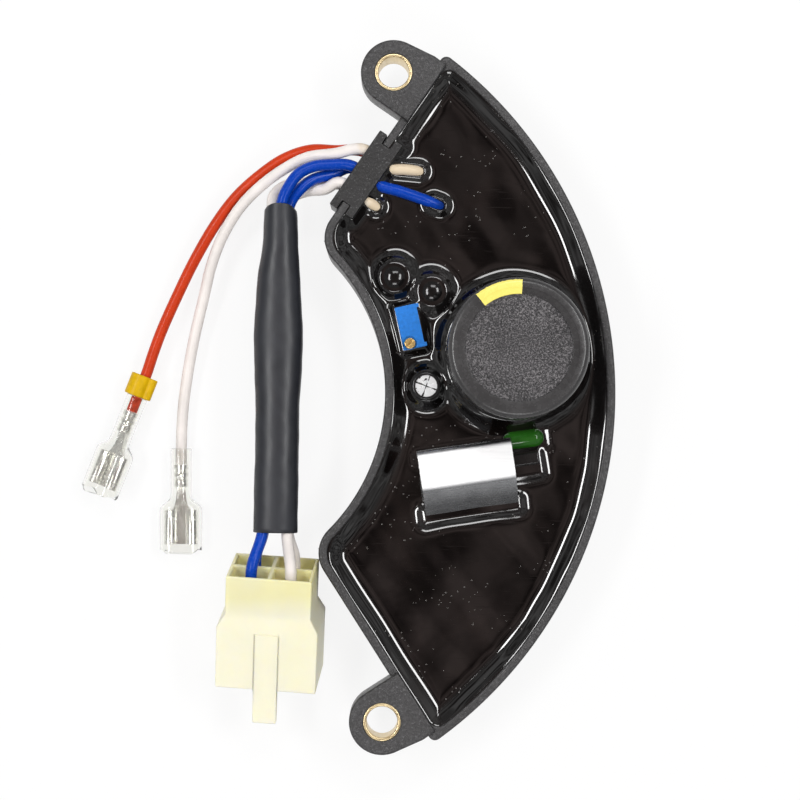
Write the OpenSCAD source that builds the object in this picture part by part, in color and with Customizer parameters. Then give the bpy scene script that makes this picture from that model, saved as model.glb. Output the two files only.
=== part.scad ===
// Potted voltage regulator for a portable generator, with its leads.
// z = 0 is the plane that the two ears seat on, midway between the two bolts.
// +Y runs from the lower bolt to the upper one, +Z out of the open side of the tray.

/* [Housing] */
// Distance between the two mounting bolts
bolt_spacing = 140; // [132:1:146]
// Radius of the bolts about the centre of the crescent
bolt_circle_r = 82; // [80:0.5:83]
// Radius of the convex outer wall
outer_r = 91.9; // [90:0.1:94]
// Radius of the concave outer face
inner_r = 42.1; // [40:0.1:44]
// Thickness of the tray's walls
wall = 1.9; // [1.5:0.1:2.2]
// Slope of the end walls from the line of symmetry
end_angle = 56.5; // [54:0.5:58]
// Set-back of the end walls from the lines through the centre
end_offset = 3.7; // [3:0.1:6]
// Height of the tray's walls
tray_h = 16.5; // [15:0.5:20]
// Thickness of the tray's floor
floor_t = 2; // [1.5:0.1:3]
// Rounding of the two inner corners
inner_corner_r = 7; // [4:0.5:8]
// Rounding of the two outer corners
outer_corner_r = 1.5; // [1:0.1:2.5]

/* [Ears and bushes] */
// Thickness of the ears, which is also the length of the bushes
ear_t = 8; // [6:0.5:9]
// Height of the ears above the rim
ear_rise = 1; // [0.5:0.1:2]
// Radius of an ear's round end
ear_r = 7.1; // [6.2:0.1:7.4]
// Spread of an ear's outer edge towards the tray
ear_flare = 8.5; // [0:0.5:12]
// Outer diameter of a bush
bush_d = 8.2; // [7.6:0.1:9]
// Bore of a bush
bush_bore = 6.7; // [6.4:0.1:7]

/* [Board and resin] */
// Thickness of the circuit board
board_t = 1.6; // [1:0.1:2]
// Space under the circuit board
board_gap = 2; // [1.5:0.1:3]
// Distance from the tray's wall to the board's edge
board_margin = 1.3; // [0.8:0.1:2]
// Depth of the resin's surface below the rim
resin_drop = 2.6; // [2:0.1:3]
// Height that the resin creeps up a wall
creep = 1.7; // [1:0.1:2]

/* [Large capacitor] */
// Diameter of the can over its sleeve
cap_d = 29.4; // [25:0.1:30]
// Height of the can over its sleeve
cap_h = 30; // [25:0.5:40]
// Diameter of the disc that shows inside the sleeve's lip
cap_window_d = 22; // [18:0.5:24]
// Thickness of the sleeve
cap_sleeve_t = 0.4; // [0.3:0.05:0.6]

/* [Small capacitors] */
// Diameter of the small cans
small_d = 6.3; // [5:0.1:7]
// Height of the two dipped cans
dipped_h = 11; // [10.5:0.1:12.5]
// Height of the can with the bare top
bare_h = 11.6; // [10.5:0.1:13]

/* [Trimmer] */
// Length of the trimmer's body
trim_l = 9.5; // [9:0.1:10]
// Width of the trimmer's body
trim_w = 4.8; // [4.4:0.1:5]
// Height of the trimmer's body
trim_h = 10.3; // [9.8:0.1:11]
// Diameter of the adjusting screw
screw_d = 2.3; // [2:0.1:2.6]
// Height of the screw above the body
screw_rise = 0.5; // [0.3:0.1:0.8]

/* [Heat sink and film capacitor] */
// Length of the bent sheet
sink_l = 20.3; // [18:0.1:22]
// Width of the flat top
sink_w = 8; // [7:0.1:9]
// Thickness of the sheet
sink_t = 1.6; // [1.2:0.1:2]
// Height of the flat top above the resin
sink_rise = 6.9; // [5:0.1:9]
// Slope of the front flange
sink_slope = 50; // [45:1:60]
// Width of the film capacitor
film_w = 9; // [8:0.1:10]
// Thickness of the film capacitor
film_t = 4; // [3.5:0.1:4.2]

/* [Leads and clip] */
// Diameter of each lead over its insulation
lead_d = 2.5; // [2.2:0.05:2.55]
// Length of the clip along the wall
clip_l = 19.4; // [18.6:0.1:20.2]
// Width of the clip across the wall
clip_w = 6; // [5.6:0.1:6.4]
// Spacing of the clip's three columns of holes
clip_pitch = 4.4; // [4.2:0.1:4.5]
// Spacing of the clip's two rows of holes
clip_row = 3.2; // [3.1:0.1:3.4]
// Thickness of the sleeve round the connector leads
wrap_t = 0.4; // [0.3:0.05:0.45]

/* [Connector and terminals] */
// Length of the connector from its rear face to its mouth
conn_l = 25.5; // [25:0.5:28]
// Width of the connector at its mouth
conn_w = 21.8; // [21:0.1:24]
// Height of the connector at its mouth
conn_h = 15.5; // [15:0.1:17]
// Thickness of the connector's outer walls
conn_wall = 1.3; // [1:0.1:1.5]
// Width of a tab in the connector
tab_w = 6.3; // [5.8:0.1:6.4]
// Length of a clear sleeve
boot_l = 24; // [23:0.5:26]
// Width of a clear sleeve
boot_w = 9.4; // [9:0.1:10]
// Height of a clear sleeve
boot_h = 5.4; // [5:0.1:6]

/* [Hidden] */
$fn = 96;
fit_gap = 0.02;
cast_gap = 0.03;
turn_gap = 0.05;

// Levels
rim_z = ear_t - ear_rise;
back_z = rim_z - tray_h;
floor_z = back_z + floor_t;
board_z = floor_z + board_gap;
board_top = board_z + board_t;
resin_z = rim_z - resin_drop;

// Centre of the crescent, and a place given by radius and angle about it
arc_x = -sqrt(pow(bolt_circle_r, 2) - pow(bolt_spacing / 2, 2));
function about_arc(r, a) = [arc_x + r * cos(a), r * sin(a)];

// Place on the upper end wall, x along the wall and y outwards across it
function on_end(x, y, z) = [
    arc_x + x * cos(end_angle) - y * sin(end_angle),
    x * sin(end_angle) + y * cos(end_angle),
    z];

// An upper bush in the frame of its end wall
bush_x = -arc_x * cos(end_angle) + bolt_spacing / 2 * sin(end_angle);
bush_y = arc_x * sin(end_angle) + bolt_spacing / 2 * cos(end_angle);

// Radii of the places on the board, from the faces of the tray's two curved walls
inner_face = inner_r + wall;
outer_face = outer_r - wall;
middle_r = (inner_face + outer_face) / 2;
cap_place_r = outer_face - cap_d / 2 - 4.9;
trim_place_r = inner_face + trim_w / 2 + 3.1;
dipped_upper_r = inner_face + small_d / 2 + 3.55;
dipped_lower_r = inner_face + small_d / 2 + 9.55;
bare_place_r = inner_face + small_d / 2 + 3.85;
sink_place_r = middle_r - 5.3;
diode_place_r = middle_r + 7;
resistor_place_r = middle_r + 8;

// Angle between places at two radii that lie d apart
function turn_for(r1, r2, d) = acos(min(1, (r1 * r1 + r2 * r2 - d * d) / (2 * r1 * r2)));

// Angles of the places, wider than usual where the large capacitor would come too near
cap_a = 8;
trim_a = cap_a + max(9.6, turn_for(trim_place_r, cap_place_r, cap_d / 2 + 8));
dipped_upper_a = trim_a + max(12.9, turn_for(dipped_upper_r, trim_place_r, trim_l / 2 + small_d / 2 + 3));
dipped_lower_a = cap_a + max(15.7, turn_for(dipped_lower_r, cap_place_r, cap_d / 2 + small_d / 2 + 4));
bare_a = cap_a - max(5.5, turn_for(bare_place_r, cap_place_r, cap_d / 2 + small_d / 2 + 2));
sink_a = cap_a - max(22, turn_for(sink_place_r, cap_place_r, cap_d / 2 + sink_w + 3.5));

// Places on the board
cap_at = about_arc(cap_place_r, cap_a);
dipped_upper_at = about_arc(dipped_upper_r, dipped_upper_a);
dipped_lower_at = about_arc(dipped_lower_r, dipped_lower_a);
bare_at = about_arc(bare_place_r, bare_a);
trim_at = about_arc(trim_place_r, trim_a);
trim_turn = trim_a - 4.2;
sink_at = about_arc(sink_place_r, sink_a);
sink_turn = sink_a + 23.4;
function by_sink(x, y) = [
    sink_at[0] + x * cos(sink_turn) - y * sin(sink_turn),
    sink_at[1] + x * sin(sink_turn) + y * cos(sink_turn)];
film_at = by_sink(sink_l / 2 + 3.05, sink_w / 2);
film_turn = sink_turn - 0.4;
chip_at = about_arc(middle_r - 9, -38);
pad_r = 2.5;
pad_at = [for (a = [40, -44], r = [inner_face + 8, outer_face - 6]) about_arc(r, a)];
diode_r = 1.35;
diode_l = 5.2;
resistor_r = 1.25;
resistor_l = 6.5;
axial_pin_r = 0.4;

// Trimmer
screw_at = [-0.7, -trim_l / 2 + 1.25];
screw_depth = 8;
slot_w = 0.5;
slot_h = 0.7;

// Heat sink and power transistor
sink_bend = sink_t + 0.6;
sink_top = resin_z + sink_rise;
sink_back = sink_w / 2;
sink_bend_y = sink_back - sink_w + 0.4;
sink_foot_z = resin_z - 2.2;
sink_leg_l = sink_l - 4.7;
power_x = sink_l / 2 - 4.4;
power_l = 10.2;
power_back = 1;
power_tab = 2.7;
power_thick = 4.7;
power_top = resin_z + 1.9;
power_step = resin_z + 0.5;
power_foot = board_top + 1;
film_top = resin_z + 2.3;

// Clip
lead_r = lead_d / 2;
lead_gap = 0.1;
clip_groove = 2.2;
clip_to_ear = 4.8;
clip_x = bush_x - ear_r - clip_to_ear - clip_l / 2;
clip_y = -end_offset - wall / 2;
clip_top = rim_z + 0.3;
row_upper = resin_z + 0.55;
row_lower = row_upper - clip_row;
clip_foot = row_lower - lead_r - 0.8 - clip_groove;
clip_slot = wall + 0.2;
notch_w = clip_l - 2 * clip_groove + 0.2;
notch_z = clip_foot + clip_groove - 0.1;
clip_in = clip_y - clip_w / 2;
clip_out = clip_y + clip_w / 2;

// Connector, from the middle of its rear face
conn_at = [-24, -37.4, 6.6];
conn_tilt = 18.5;
conn_roll = 3.5;
conn_yaw = -1.8;
conn_rear_l = 8.6;
conn_rear_w = 18.4;
conn_rear_h = 14.2;
conn_web = 3;
conn_shoulder = 2.9;
cell_x = 4.45;
cell_z = 3.45;
cell_wall = 0.9;
tongue_w = 5.2;
tongue_l = 7.6;
tongue_t = 1.6;
tab_t = 0.8;
tab_reach = 9;
wire_depth = 3.5;

// A place in the connector: a across, b from the rear face to the mouth, c up
function in_conn(a, b, c) =
    let (x = a * cos(conn_roll) - c * sin(conn_roll))
    let (up = a * sin(conn_roll) + c * cos(conn_roll))
    let (y = -b * cos(conn_tilt) - up * sin(conn_tilt))
    let (z = -b * sin(conn_tilt) + up * cos(conn_tilt))
    conn_at + [x * cos(conn_yaw) - y * sin(conn_yaw), x * sin(conn_yaw) + y * cos(conn_yaw), z];

// Terminals, from the rear end of each clear sleeve
boot_lift = back_z + boot_h / 2;
boot_wall = 0.5;
boot_neck = 4.6;
boot_neck_l = boot_l - 13;
boot_taper = 2;
crimp_at = 3.4;
red_boot_at = [-55.6, -0.9];
red_boot_yaw = -20.5;
red_boot_roll = 30;
red_boot_z = boot_lift + 1.6;
white_boot_at = [-45.8, -12.2];
white_boot_yaw = 1;
function along_boot(at, yaw, b, z) = [at[0] + b * sin(yaw), at[1] - b * cos(yaw), z];

// Marker tag on the red lead
tag_l = 4.8;
tag_r = 2.4;
tag_fold_r = 1.1;

// Sleeve round the connector leads: y, x of the middle, z of the middle, half width, half height
wrap_path = [
    [41.2, -24, 4.7, 3.6, 4.2],
    [32, -23.9, 5, 4, 3.9],
    [25, -24.1, 5.2, 4.7, 3.85],
    [18, -24, 5.5, 5.15, 3.8],
    [11.5, -23.9, 5.8, 5.4, 3.75],
    [5, -23.8, 6, 5.2, 3.75],
    [-1, -23.8, 6.2, 4.9, 3.75],
    [-11, -23.7, 6.4, 4.8, 3.75],
    [-20, -23.7, 6.5, 4.85, 3.75],
    [-30, -23.7, 6.3, 4.85, 3.75]];

// Routes of the leads, from the resin through the clip
red_route = [
    on_end(clip_x + clip_pitch, clip_in - 3, row_lower),
    on_end(clip_x + clip_pitch, clip_out + 1, row_lower),
    [-12.4, 53.7, 1.6], [-18, 53.8, 1.1], [-23.6, 52, 0.2],
    [-29, 48.4, -0.8], [-34.4, 43.5, -2], [-39, 37.3, -3],
    [-43.4, 29.6, -4], [-47, 22, -4.6], [-50.4, 14.1, -5],
    [-52.2, 9, -5.1],
    along_boot(red_boot_at, red_boot_yaw, -tag_l - 0.6, red_boot_z),
    along_boot(red_boot_at, red_boot_yaw, crimp_at, red_boot_z)];
white_route = [
    [7.4, 48.8, 2.6], [5.6, 49.1, 4.3], [2.6, 49.3, 5],
    on_end(clip_x + clip_pitch, clip_in - 0.6, row_upper),
    on_end(clip_x + clip_pitch, clip_out + 1, row_upper),
    [-12.4, 52.6, 4.5], [-18.5, 51.8, 3.4], [-23.4, 49.4, 2.6],
    [-28.4, 45.8, 1.7], [-33.2, 41.1, -0.2], [-37.1, 34.9, -1.9],
    [-39.6, 28.5, -3.4], [-41.2, 21.8, -4.8], [-43.4, 12, -6],
    [-45, 2, -6.6], [-45.7, -6, -6.8],
    along_boot(white_boot_at, white_boot_yaw, crimp_at, boot_lift)];
blue_outer_route = [
    [12.3, 41, 2.6], [10.6, 41.6, 4.1], [7.4, 42.7, 5.2], [1.8, 44.5, 5.4],
    on_end(clip_x, clip_in - 0.6, row_upper),
    on_end(clip_x, clip_out + 1, row_upper),
    [-13.2, 50, 5.6], [-16.8, 49.5, 6.2], [-20.2, 47.7, 6.8],
    [-22.7, 44, 7.1], [-23.7, 41, 7], [-25.9, 20, 6.5],
    [-26.6, 0, 6.3], [-26.4, -18, 5.6], [-26.4, -30, 5],
    in_conn(-4.2, -1.2, -3.2), in_conn(-4.2, wire_depth, -3.4)];
blue_inner_route = [
    on_end(clip_x, clip_in - 3, row_lower),
    on_end(clip_x, clip_out + 1, row_lower),
    [-12.8, 48.4, 2.6], [-17, 47, 4], [-19.9, 44.6, 4.7],
    [-22.2, 40.8, 4.7], [-22.4, 20, 6.9], [-24.5, 0, 8],
    [-25.7, -18, 8.1], [-26.4, -30, 7.6],
    in_conn(-4.2, -0.8, 3.2), in_conn(-4.2, wire_depth, 3.4)];
pale_upper_route = [
    [-2.2, 40.5, 2.9], [-3.7, 41.4, 4.3],
    on_end(clip_x - clip_pitch, clip_in - 0.4, row_upper),
    on_end(clip_x - clip_pitch, clip_out + 1, row_upper),
    [-14.6, 44.9, 3.4], [-18.3, 44.7, 1.7], [-21.9, 43.2, 1.6],
    [-23.7, 40.2, 2.5], [-21.8, 20, 4.1],
    [-21, 0, 5.9], [-20.9, -18, 7.3], [-21.1, -30, 7.6],
    in_conn(4.2, -0.8, 3.2), in_conn(4.2, wire_depth, 3.4)];
pale_lower_route = [
    on_end(clip_x - clip_pitch, clip_in - 1, row_lower),
    on_end(clip_x - clip_pitch, clip_out + 1, row_lower),
    [-14.6, 46.1, 1], [-18.8, 46.7, -0.2], [-23.3, 45.9, 0.6],
    [-25.7, 43.4, 2.7], [-25.9, 40.4, 4.1], [-25.3, 20, 3.6],
    [-23.9, 0, 4.2], [-21.9, -18, 4.8], [-21.1, -30, 5],
    in_conn(4.2, -1.2, -3.2), in_conn(4.2, wire_depth, -3.4)];
lead_sides = 8;
wrap_sides = 20;

// Helpers

function unit(v) = v / norm(v);
function heading(p, i) = unit(p[min(i + 1, len(p) - 1)] - p[max(i - 1, 0)]);
function across(p, i) = unit(cross(heading(p, i), [0, 0, 1]));
function ring(p, i, r, n) = [for (k = [0:n - 1])
    p[i] + r * (cos(360 * k / n) * across(p, i)
        + sin(360 * k / n) * cross(heading(p, i), across(p, i)))];
function skin(m, n) = concat(
    [[for (k = [0:n - 1]) k]],
    [for (i = [0:m - 2], k = [0:n - 1])
        [i * n + k, (i + 1) * n + k, (i + 1) * n + (k + 1) % n, i * n + (k + 1) % n]],
    [[for (k = [n - 1:-1:0]) (m - 1) * n + k]]);

// Round tube through the points of a route
module tube(p, r, n = lead_sides) {
    polyhedron([for (i = [0:len(p) - 1]) each ring(p, i, r, n)], skin(len(p), n));
}

function first(p, m) = [for (i = [0:m - 1]) p[i]];

// Flattened round section of the sleeve round the connector leads
function soft(v) = sign(v) * pow(abs(v), 0.8);
function wrap_ring(s, t, dy, n) = [for (k = [0:n - 1])
    [s[1] + (s[3] - t) * soft(cos(360 * k / n)), s[0] + dy,
        s[2] + (s[4] - t) * soft(sin(360 * k / n))]];
module wrap_solid(t, over) {
    m = len(wrap_path);
    polyhedron([for (i = [0:m - 1])
        each wrap_ring(wrap_path[i], t, i == 0 ? over : i == m - 1 ? -over : 0, wrap_sides)],
        skin(m, wrap_sides));
}

module end_frame(side) {
    translate([arc_x, 0, 0])
        mirror([0, side < 0 ? 1 : 0, 0])
            rotate(end_angle)
                children();
}

module on_board(at, turn = 0) {
    translate([at[0], at[1], board_top])
        rotate(turn)
            children();
}

// Plan of the crescent, moved in by inset, with square corners
module square_crescent(inset) {
    ro = outer_r - inset;
    intersection() {
        translate([arc_x, 0]) {
            difference() {
                circle(ro, $fn = 240);
                circle(inner_r + inset, $fn = 160);
            }
        }
        translate([arc_x + (end_offset + inset) / sin(end_angle), 0])
            polygon([[0, 0], 2 * ro * [cos(end_angle), sin(end_angle)],
                2 * ro * [cos(end_angle), -sin(end_angle)]]);
    }
}

// The same plan with its corners rounded
module crescent(inset, inner_f, outer_f) {
    ri = inner_r + inset;
    ro = outer_r - inset;
    e = end_offset + inset;
    f = [sqrt(pow(ri + inner_f, 2) - pow(e + inner_f, 2)), -e - inner_f];
    g = [sqrt(pow(ro - outer_f, 2) - pow(e + outer_f, 2)), -e - outer_f];
    f_tip = [sqrt(ri * ri - e * e), -e];
    g_tip = [sqrt(ro * ro - e * e), -e];
    difference() {
        square_crescent(inset);
        for (side = [1, -1]) {
            end_frame(side) {
                polygon([f, f * ri / (ri + inner_f), f_tip + 0.6 * (f_tip - f), [f[0], -e]]);
                polygon([g, [g[0], -e], g_tip + 0.6 * (g_tip - g), g * ro / (ro - outer_f)]);
            }
        }
    }
    for (side = [1, -1]) {
        end_frame(side) {
            translate(f)
                circle(inner_f);
            translate(g)
                circle(outer_f);
        }
    }
}

module pocket(gap) {
    crescent(wall + gap, inner_corner_r - wall, outer_corner_r + 0.7);
}

// Plan of an ear in the frame of its end wall
module ear_plan() {
    low = -end_offset - wall - 1;
    reach = bush_x + ear_r * cos(ear_flare);
    lift = bush_y + ear_r * sin(ear_flare);
    intersection() {
        circle(max(outer_face, bolt_circle_r + ear_r + 0.1), $fn = 240);
        union() {
            translate([bush_x, bush_y])
                circle(ear_r);
            polygon([[bush_x - ear_r, bush_y], [bush_x - ear_r, low],
                [reach + (lift - low) * tan(ear_flare), low], [reach, lift], [bush_x, bush_y]]);
        }
    }
}

// Section of the resin where it creeps up a face at x = 0, from its level at y = 0
module creep_section(size, back = 0.6) {
    c = 1.3 * size;
    difference() {
        translate([-back, -0.8])
            square([size + back, size + 0.8]);
        translate([c, c])
            circle(sqrt(c * c + pow(c - size, 2)), $fn = 64);
        translate([-back - 1, size - 0.01])
            square([size + back + 2, 2]);
    }
}

module creep_round(r, size) {
    rotate_extrude()
        translate([r, 0])
            creep_section(size, min(r, 0.6));
}

// Creep round a rectangular piece
module creep_box(l, w, size) {
    for (side = [1, -1]) {
        translate([-l / 2, side * w / 2, 0])
            rotate([90, 0, 90])
                linear_extrude(l)
                    mirror([side < 0 ? 1 : 0, 0])
                        creep_section(size);
        translate([side * l / 2, side * w / 2, 0])
            rotate([90, 0, side > 0 ? 0 : 180])
                linear_extrude(w)
                    creep_section(size);
    }
    for (x = [1, -1], y = [1, -1])
        translate([x * l / 2, y * w / 2, 0])
            rotate_extrude()
                creep_section(size, 0);
}

// Housing and bushes

module housing() {
    color([0.12, 0.12, 0.13])
    difference() {
        union() {
            translate([0, 0, back_z])
                linear_extrude(tray_h)
                    crescent(0, inner_corner_r, outer_corner_r);
            for (side = [1, -1]) {
                end_frame(side)
                    linear_extrude(ear_t)
                        ear_plan();
            }
            translate([arc_x, 0, rim_z - 5])
                rotate(33.5)
                    translate([outer_r - 0.6, 0, 0])
                        rotate([0, 90, 0])
                            cylinder(h = 0.9, r = 0.9, $fn = 24);
        }
        difference() {
            translate([0, 0, floor_z])
                linear_extrude(tray_h)
                    pocket(0);
            for (at = pad_at) {
                translate([at[0], at[1], back_z])
                    cylinder(h = board_z - back_z, r = pad_r);
            }
        }
        for (side = [1, -1]) {
            translate([0, side * bolt_spacing / 2, -1])
                cylinder(h = ear_t + 2, d = bush_d + 2 * fit_gap);
        }
        end_frame(1)
            translate([clip_x - notch_w / 2, clip_y - wall, notch_z])
                cube([notch_w, 2 * wall, tray_h]);
    }
}

module bush(side) {
    color([0.78, 0.62, 0.3])
    translate([0, side * bolt_spacing / 2, 0]) {
        difference() {
            cylinder(h = ear_t, d = bush_d);
            translate([0, 0, -1])
                cylinder(h = ear_t + 2, d = bush_bore);
        }
    }
}

module upper_bush() {
    bush(1);
}

module lower_bush() {
    bush(-1);
}

// Clip that holds the six leads in the notch of the upper end wall

module clip_block(gap) {
    end_frame(1)
        translate([clip_x - clip_l / 2 - gap, clip_in - gap, clip_foot - gap])
            cube([clip_l + 2 * gap, clip_w + 2 * gap, clip_top - clip_foot + 2 * gap]);
}

module wire_clip() {
    color([0.1, 0.1, 0.1])
    difference() {
        clip_block(0);
        end_frame(1) {
            translate([clip_x, clip_y, 0]) {
                for (side = [1, -1])
                    translate([side * clip_l / 2, 0, 0])
                        cube([2 * clip_groove, clip_slot, 60], center = true);
                translate([0, 0, clip_foot])
                    cube([2 * clip_l, clip_slot, 2 * clip_groove], center = true);
            }
            for (x = [-1, 0, 1], z = [row_upper, row_lower])
                translate([clip_x + x * clip_pitch, clip_in - 1, z])
                    rotate([-90, 0, 0])
                        cylinder(h = clip_w + 2, r = lead_r + lead_gap, $fn = 32);
        }
    }
}

// Resin and board

module potting_resin() {
    color([0.05, 0.045, 0.04])
    difference() {
        union() {
            translate([0, 0, floor_z])
                linear_extrude(resin_z - floor_z)
                    pocket(cast_gap);
            intersection() {
                translate([0, 0, resin_z - 1])
                    linear_extrude(creep + 2)
                        pocket(cast_gap);
                translate([0, 0, resin_z])
                    wall_creep();
            }
            translate([0, 0, resin_z])
                piece_creep();
        }
        embedded();
    }
}

// Resin drawn up the inside of the tray's walls
module wall_creep() {
    translate([arc_x, 0, 0]) {
        rotate_extrude($fn = 240)
            translate([outer_face, 0])
                mirror([1, 0])
                    creep_section(creep);
        rotate_extrude($fn = 160)
            translate([inner_face, 0])
                creep_section(creep);
    }
    for (side = [1, -1]) {
        end_frame(side)
            translate([inner_r, -end_offset - wall, 0])
                rotate([90, 0, 90])
                    linear_extrude(outer_r - inner_r)
                        mirror([1, 0])
                            creep_section(creep);
    }
}

// Resin drawn up round the pieces that stand out of it
module piece_creep() {
    translate(cap_at)
        creep_round(cap_d / 2, 2.4);
    translate(dipped_upper_at)
        creep_round(small_d / 2, 1.5);
    translate(dipped_lower_at)
        creep_round(small_d / 2, 1.5);
    translate(bare_at)
        creep_round(small_d / 2, 1.9);
    translate(trim_at)
        rotate(trim_turn)
            creep_box(trim_w, trim_l, 0.9);
    translate(film_at)
        rotate(film_turn)
            creep_box(film_w, film_t, 0.8);
    translate(sink_at)
        rotate(sink_turn)
            translate([power_x + power_l / 2, power_back - power_thick / 2, 0])
                creep_box(power_l, power_thick, 1.2);
}

// Everything that the resin was poured round
module embedded() {
    g = cast_gap;
    translate([0, 0, board_z - g])
        linear_extrude(board_t + 2 * g)
            square_crescent(wall + board_margin - g);
    for (at = pad_at)
        translate([at[0], at[1], floor_z - 1])
            cylinder(h = board_z - floor_z + 1, r = pad_r + g);
    on_board(cap_at)
        cylinder(h = cap_h, d = cap_d + 2 * g);
    for (at = [dipped_upper_at, dipped_lower_at, bare_at])
        on_board(at)
            cylinder(h = bare_h + dipped_h, d = small_d + 2 * g);
    on_board(trim_at, trim_turn)
        trim_block(g);
    on_board(film_at, film_turn)
        film_plan(g, 30);
    translate([sink_at[0], sink_at[1], 0]) {
        rotate(sink_turn) {
            sink_sheet(g);
            power_body(g);
        }
    }
    diode_set(g);
    resistor_set(g);
    on_board(chip_at, -38)
        chip_body(g);
    clip_block(g);
    tube(first(red_route, 2), lead_r + g);
    tube(first(white_route, 5), lead_r + g);
    tube(first(blue_outer_route, 6), lead_r + g);
    tube(first(blue_inner_route, 2), lead_r + g);
    tube(first(pale_upper_route, 4), lead_r + g);
    tube(first(pale_lower_route, 2), lead_r + g);
}

module circuit_board() {
    color([0.72, 0.55, 0.3])
    translate([0, 0, board_z])
        linear_extrude(board_t)
            square_crescent(wall + board_margin);
}

// Large capacitor

module capacitor_can() {
    r = cap_d / 2 - cap_sleeve_t;
    color([0.75, 0.75, 0.76])
    on_board(cap_at)
        rotate_extrude()
            polygon([[0, 0], [r, 0], [r, cap_h - 2.2], [r - 1.2, cap_h - 1], [0, cap_h - 1]]);
}

module capacitor_top_disc() {
    color([0.3, 0.29, 0.29])
    on_board(cap_at)
        translate([0, 0, cap_h - 1])
            cylinder(h = 0.6, r = cap_d / 2 - cap_sleeve_t - 1.5);
}

module capacitor_sleeve() {
    r = cap_d / 2;
    color([0.16, 0.16, 0.17])
    on_board(cap_at)
        rotate_extrude()
            difference() {
                union() {
                    square([r, cap_h - 1.4]);
                    square([r - 1.4, cap_h]);
                    translate([r - 1.4, cap_h - 1.4])
                        circle(1.4, $fn = 48);
                }
                polygon([[-1, -1], [r - cap_sleeve_t, -1], [r - cap_sleeve_t, cap_h - 2.2],
                    [r - cap_sleeve_t - 1.2, cap_h - 1], [r - cap_sleeve_t - 1.5, cap_h - 1],
                    [r - cap_sleeve_t - 1.5, cap_h - 0.4], [cap_window_d / 2, cap_h - 0.4],
                    [cap_window_d / 2, cap_h + 1], [-1, cap_h + 1]]);
            }
}

// Small capacitors

module dipped_can(at) {
    r = small_d / 2;
    color([0.06, 0.06, 0.06])
    on_board(at) {
        cylinder(h = dipped_h - r / 2, r = r);
        translate([0, 0, dipped_h - r / 2]) {
            intersection() {
                cylinder(h = r / 2, r = r);
                translate([0, 0, -0.75 * r])
                    sphere(r = 1.25 * r, $fn = 64);
            }
        }
    }
}

module dipped_capacitor_upper() {
    dipped_can(dipped_upper_at);
}

module dipped_capacitor_lower() {
    dipped_can(dipped_lower_at);
}

module bare_capacitor_can() {
    color([0.8, 0.81, 0.82])
    on_board(bare_at) {
        difference() {
            cylinder(h = bare_h - 0.3, r = small_d / 2 - 0.25);
            for (turn = [20, 80, 140])
                rotate(turn)
                    translate([0, 0, bare_h - 0.3])
                        cube([small_d / 2, 0.2, 0.3], center = true);
        }
    }
}

module bare_capacitor_sleeve() {
    color([0.09, 0.09, 0.1])
    on_board(bare_at) {
        difference() {
            union() {
                cylinder(h = bare_h - 0.5, d = small_d);
                translate([0, 0, bare_h - 0.5])
                    cylinder(h = 0.5, d1 = small_d, d2 = small_d - 1);
            }
            translate([0, 0, -1])
                cylinder(h = bare_h + 0.7, r = small_d / 2 - 0.25);
            cylinder(h = bare_h + 1, r = small_d / 2 - 0.8);
        }
    }
}

// Trimmer

module trim_block(g) {
    translate([-trim_w / 2 - g, -trim_l / 2 - g, -g])
        cube([trim_w + 2 * g, trim_l + 2 * g, trim_h + 2 * g]);
    for (side = [1, -1])
        translate([trim_w / 2 - 0.5, side * (trim_l / 2 - 0.45) - 0.45 - g, -g])
            cube([1 + g, 0.9 + 2 * g, trim_h + 2 * g]);
}

module trimmer_body() {
    color([0.12, 0.42, 0.78])
    on_board(trim_at, trim_turn) {
        difference() {
            trim_block(0);
            translate([screw_at[0], screw_at[1], trim_h - screw_depth])
                cylinder(h = screw_depth + 1, d = screw_d + 2 * turn_gap, $fn = 48);
            translate([screw_at[0], screw_at[1], trim_h - 0.3])
                cylinder(h = 1, d = screw_d + 0.7, $fn = 48);
        }
    }
}

module trimmer_screw() {
    color([0.8, 0.66, 0.35])
    on_board(trim_at, trim_turn)
        translate([screw_at[0], screw_at[1], trim_h]) {
            difference() {
                translate([0, 0, 0.1 - screw_depth])
                    cylinder(h = screw_depth + screw_rise - 0.1, d = screw_d, $fn = 48);
                translate([0, 0, screw_rise])
                    rotate(40)
                        cube([2 * screw_d, slot_w, 2 * slot_h], center = true);
            }
        }
}

// Heat sink, power transistor and film capacitor

function arc_at(c, r, from, to, n) = [for (i = [0:n]) c + r * [cos(from + (to - from) * i / n),
    sin(from + (to - from) * i / n)]];

// Bent sheet, y across it and z up
module sink_section(g) {
    back_c = [sink_back - sink_bend, sink_top - sink_bend];
    front_c = [sink_bend_y, sink_top - sink_bend];
    in_r = sink_bend - sink_t - g;
    out_r = sink_bend + g;
    lean = [-sin(90 - sink_slope), -cos(90 - sink_slope)];
    run = (front_c[1] + out_r * cos(sink_slope) - sink_foot_z) / cos(90 - sink_slope);
    arc_out = arc_at(front_c, out_r, 90, 90 + sink_slope, 8);
    arc_in = arc_at(front_c, in_r, 90 + sink_slope, 90, 8);
    polygon(concat(
        arc_at(back_c, out_r, 0, 90, 8), arc_out, [arc_out[8] + run * lean],
        [arc_in[0] + run * lean], arc_in, arc_at(back_c, in_r, 90, 0, 8)));
}

module sink_sheet(g) {
    translate([-sink_l / 2 - g, 0, 0])
        rotate([90, 0, 90])
            linear_extrude(sink_l + 2 * g)
                sink_section(g);
    translate([-sink_l / 2 - g, sink_back - sink_t - g, board_top])
        cube([sink_leg_l + 2 * g, sink_t + 2 * g, sink_top - sink_bend - board_top]);
}

module heat_sink() {
    color([0.85, 0.86, 0.87])
    translate([sink_at[0], sink_at[1], 0])
        rotate(sink_turn)
            sink_sheet(0);
}

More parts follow.
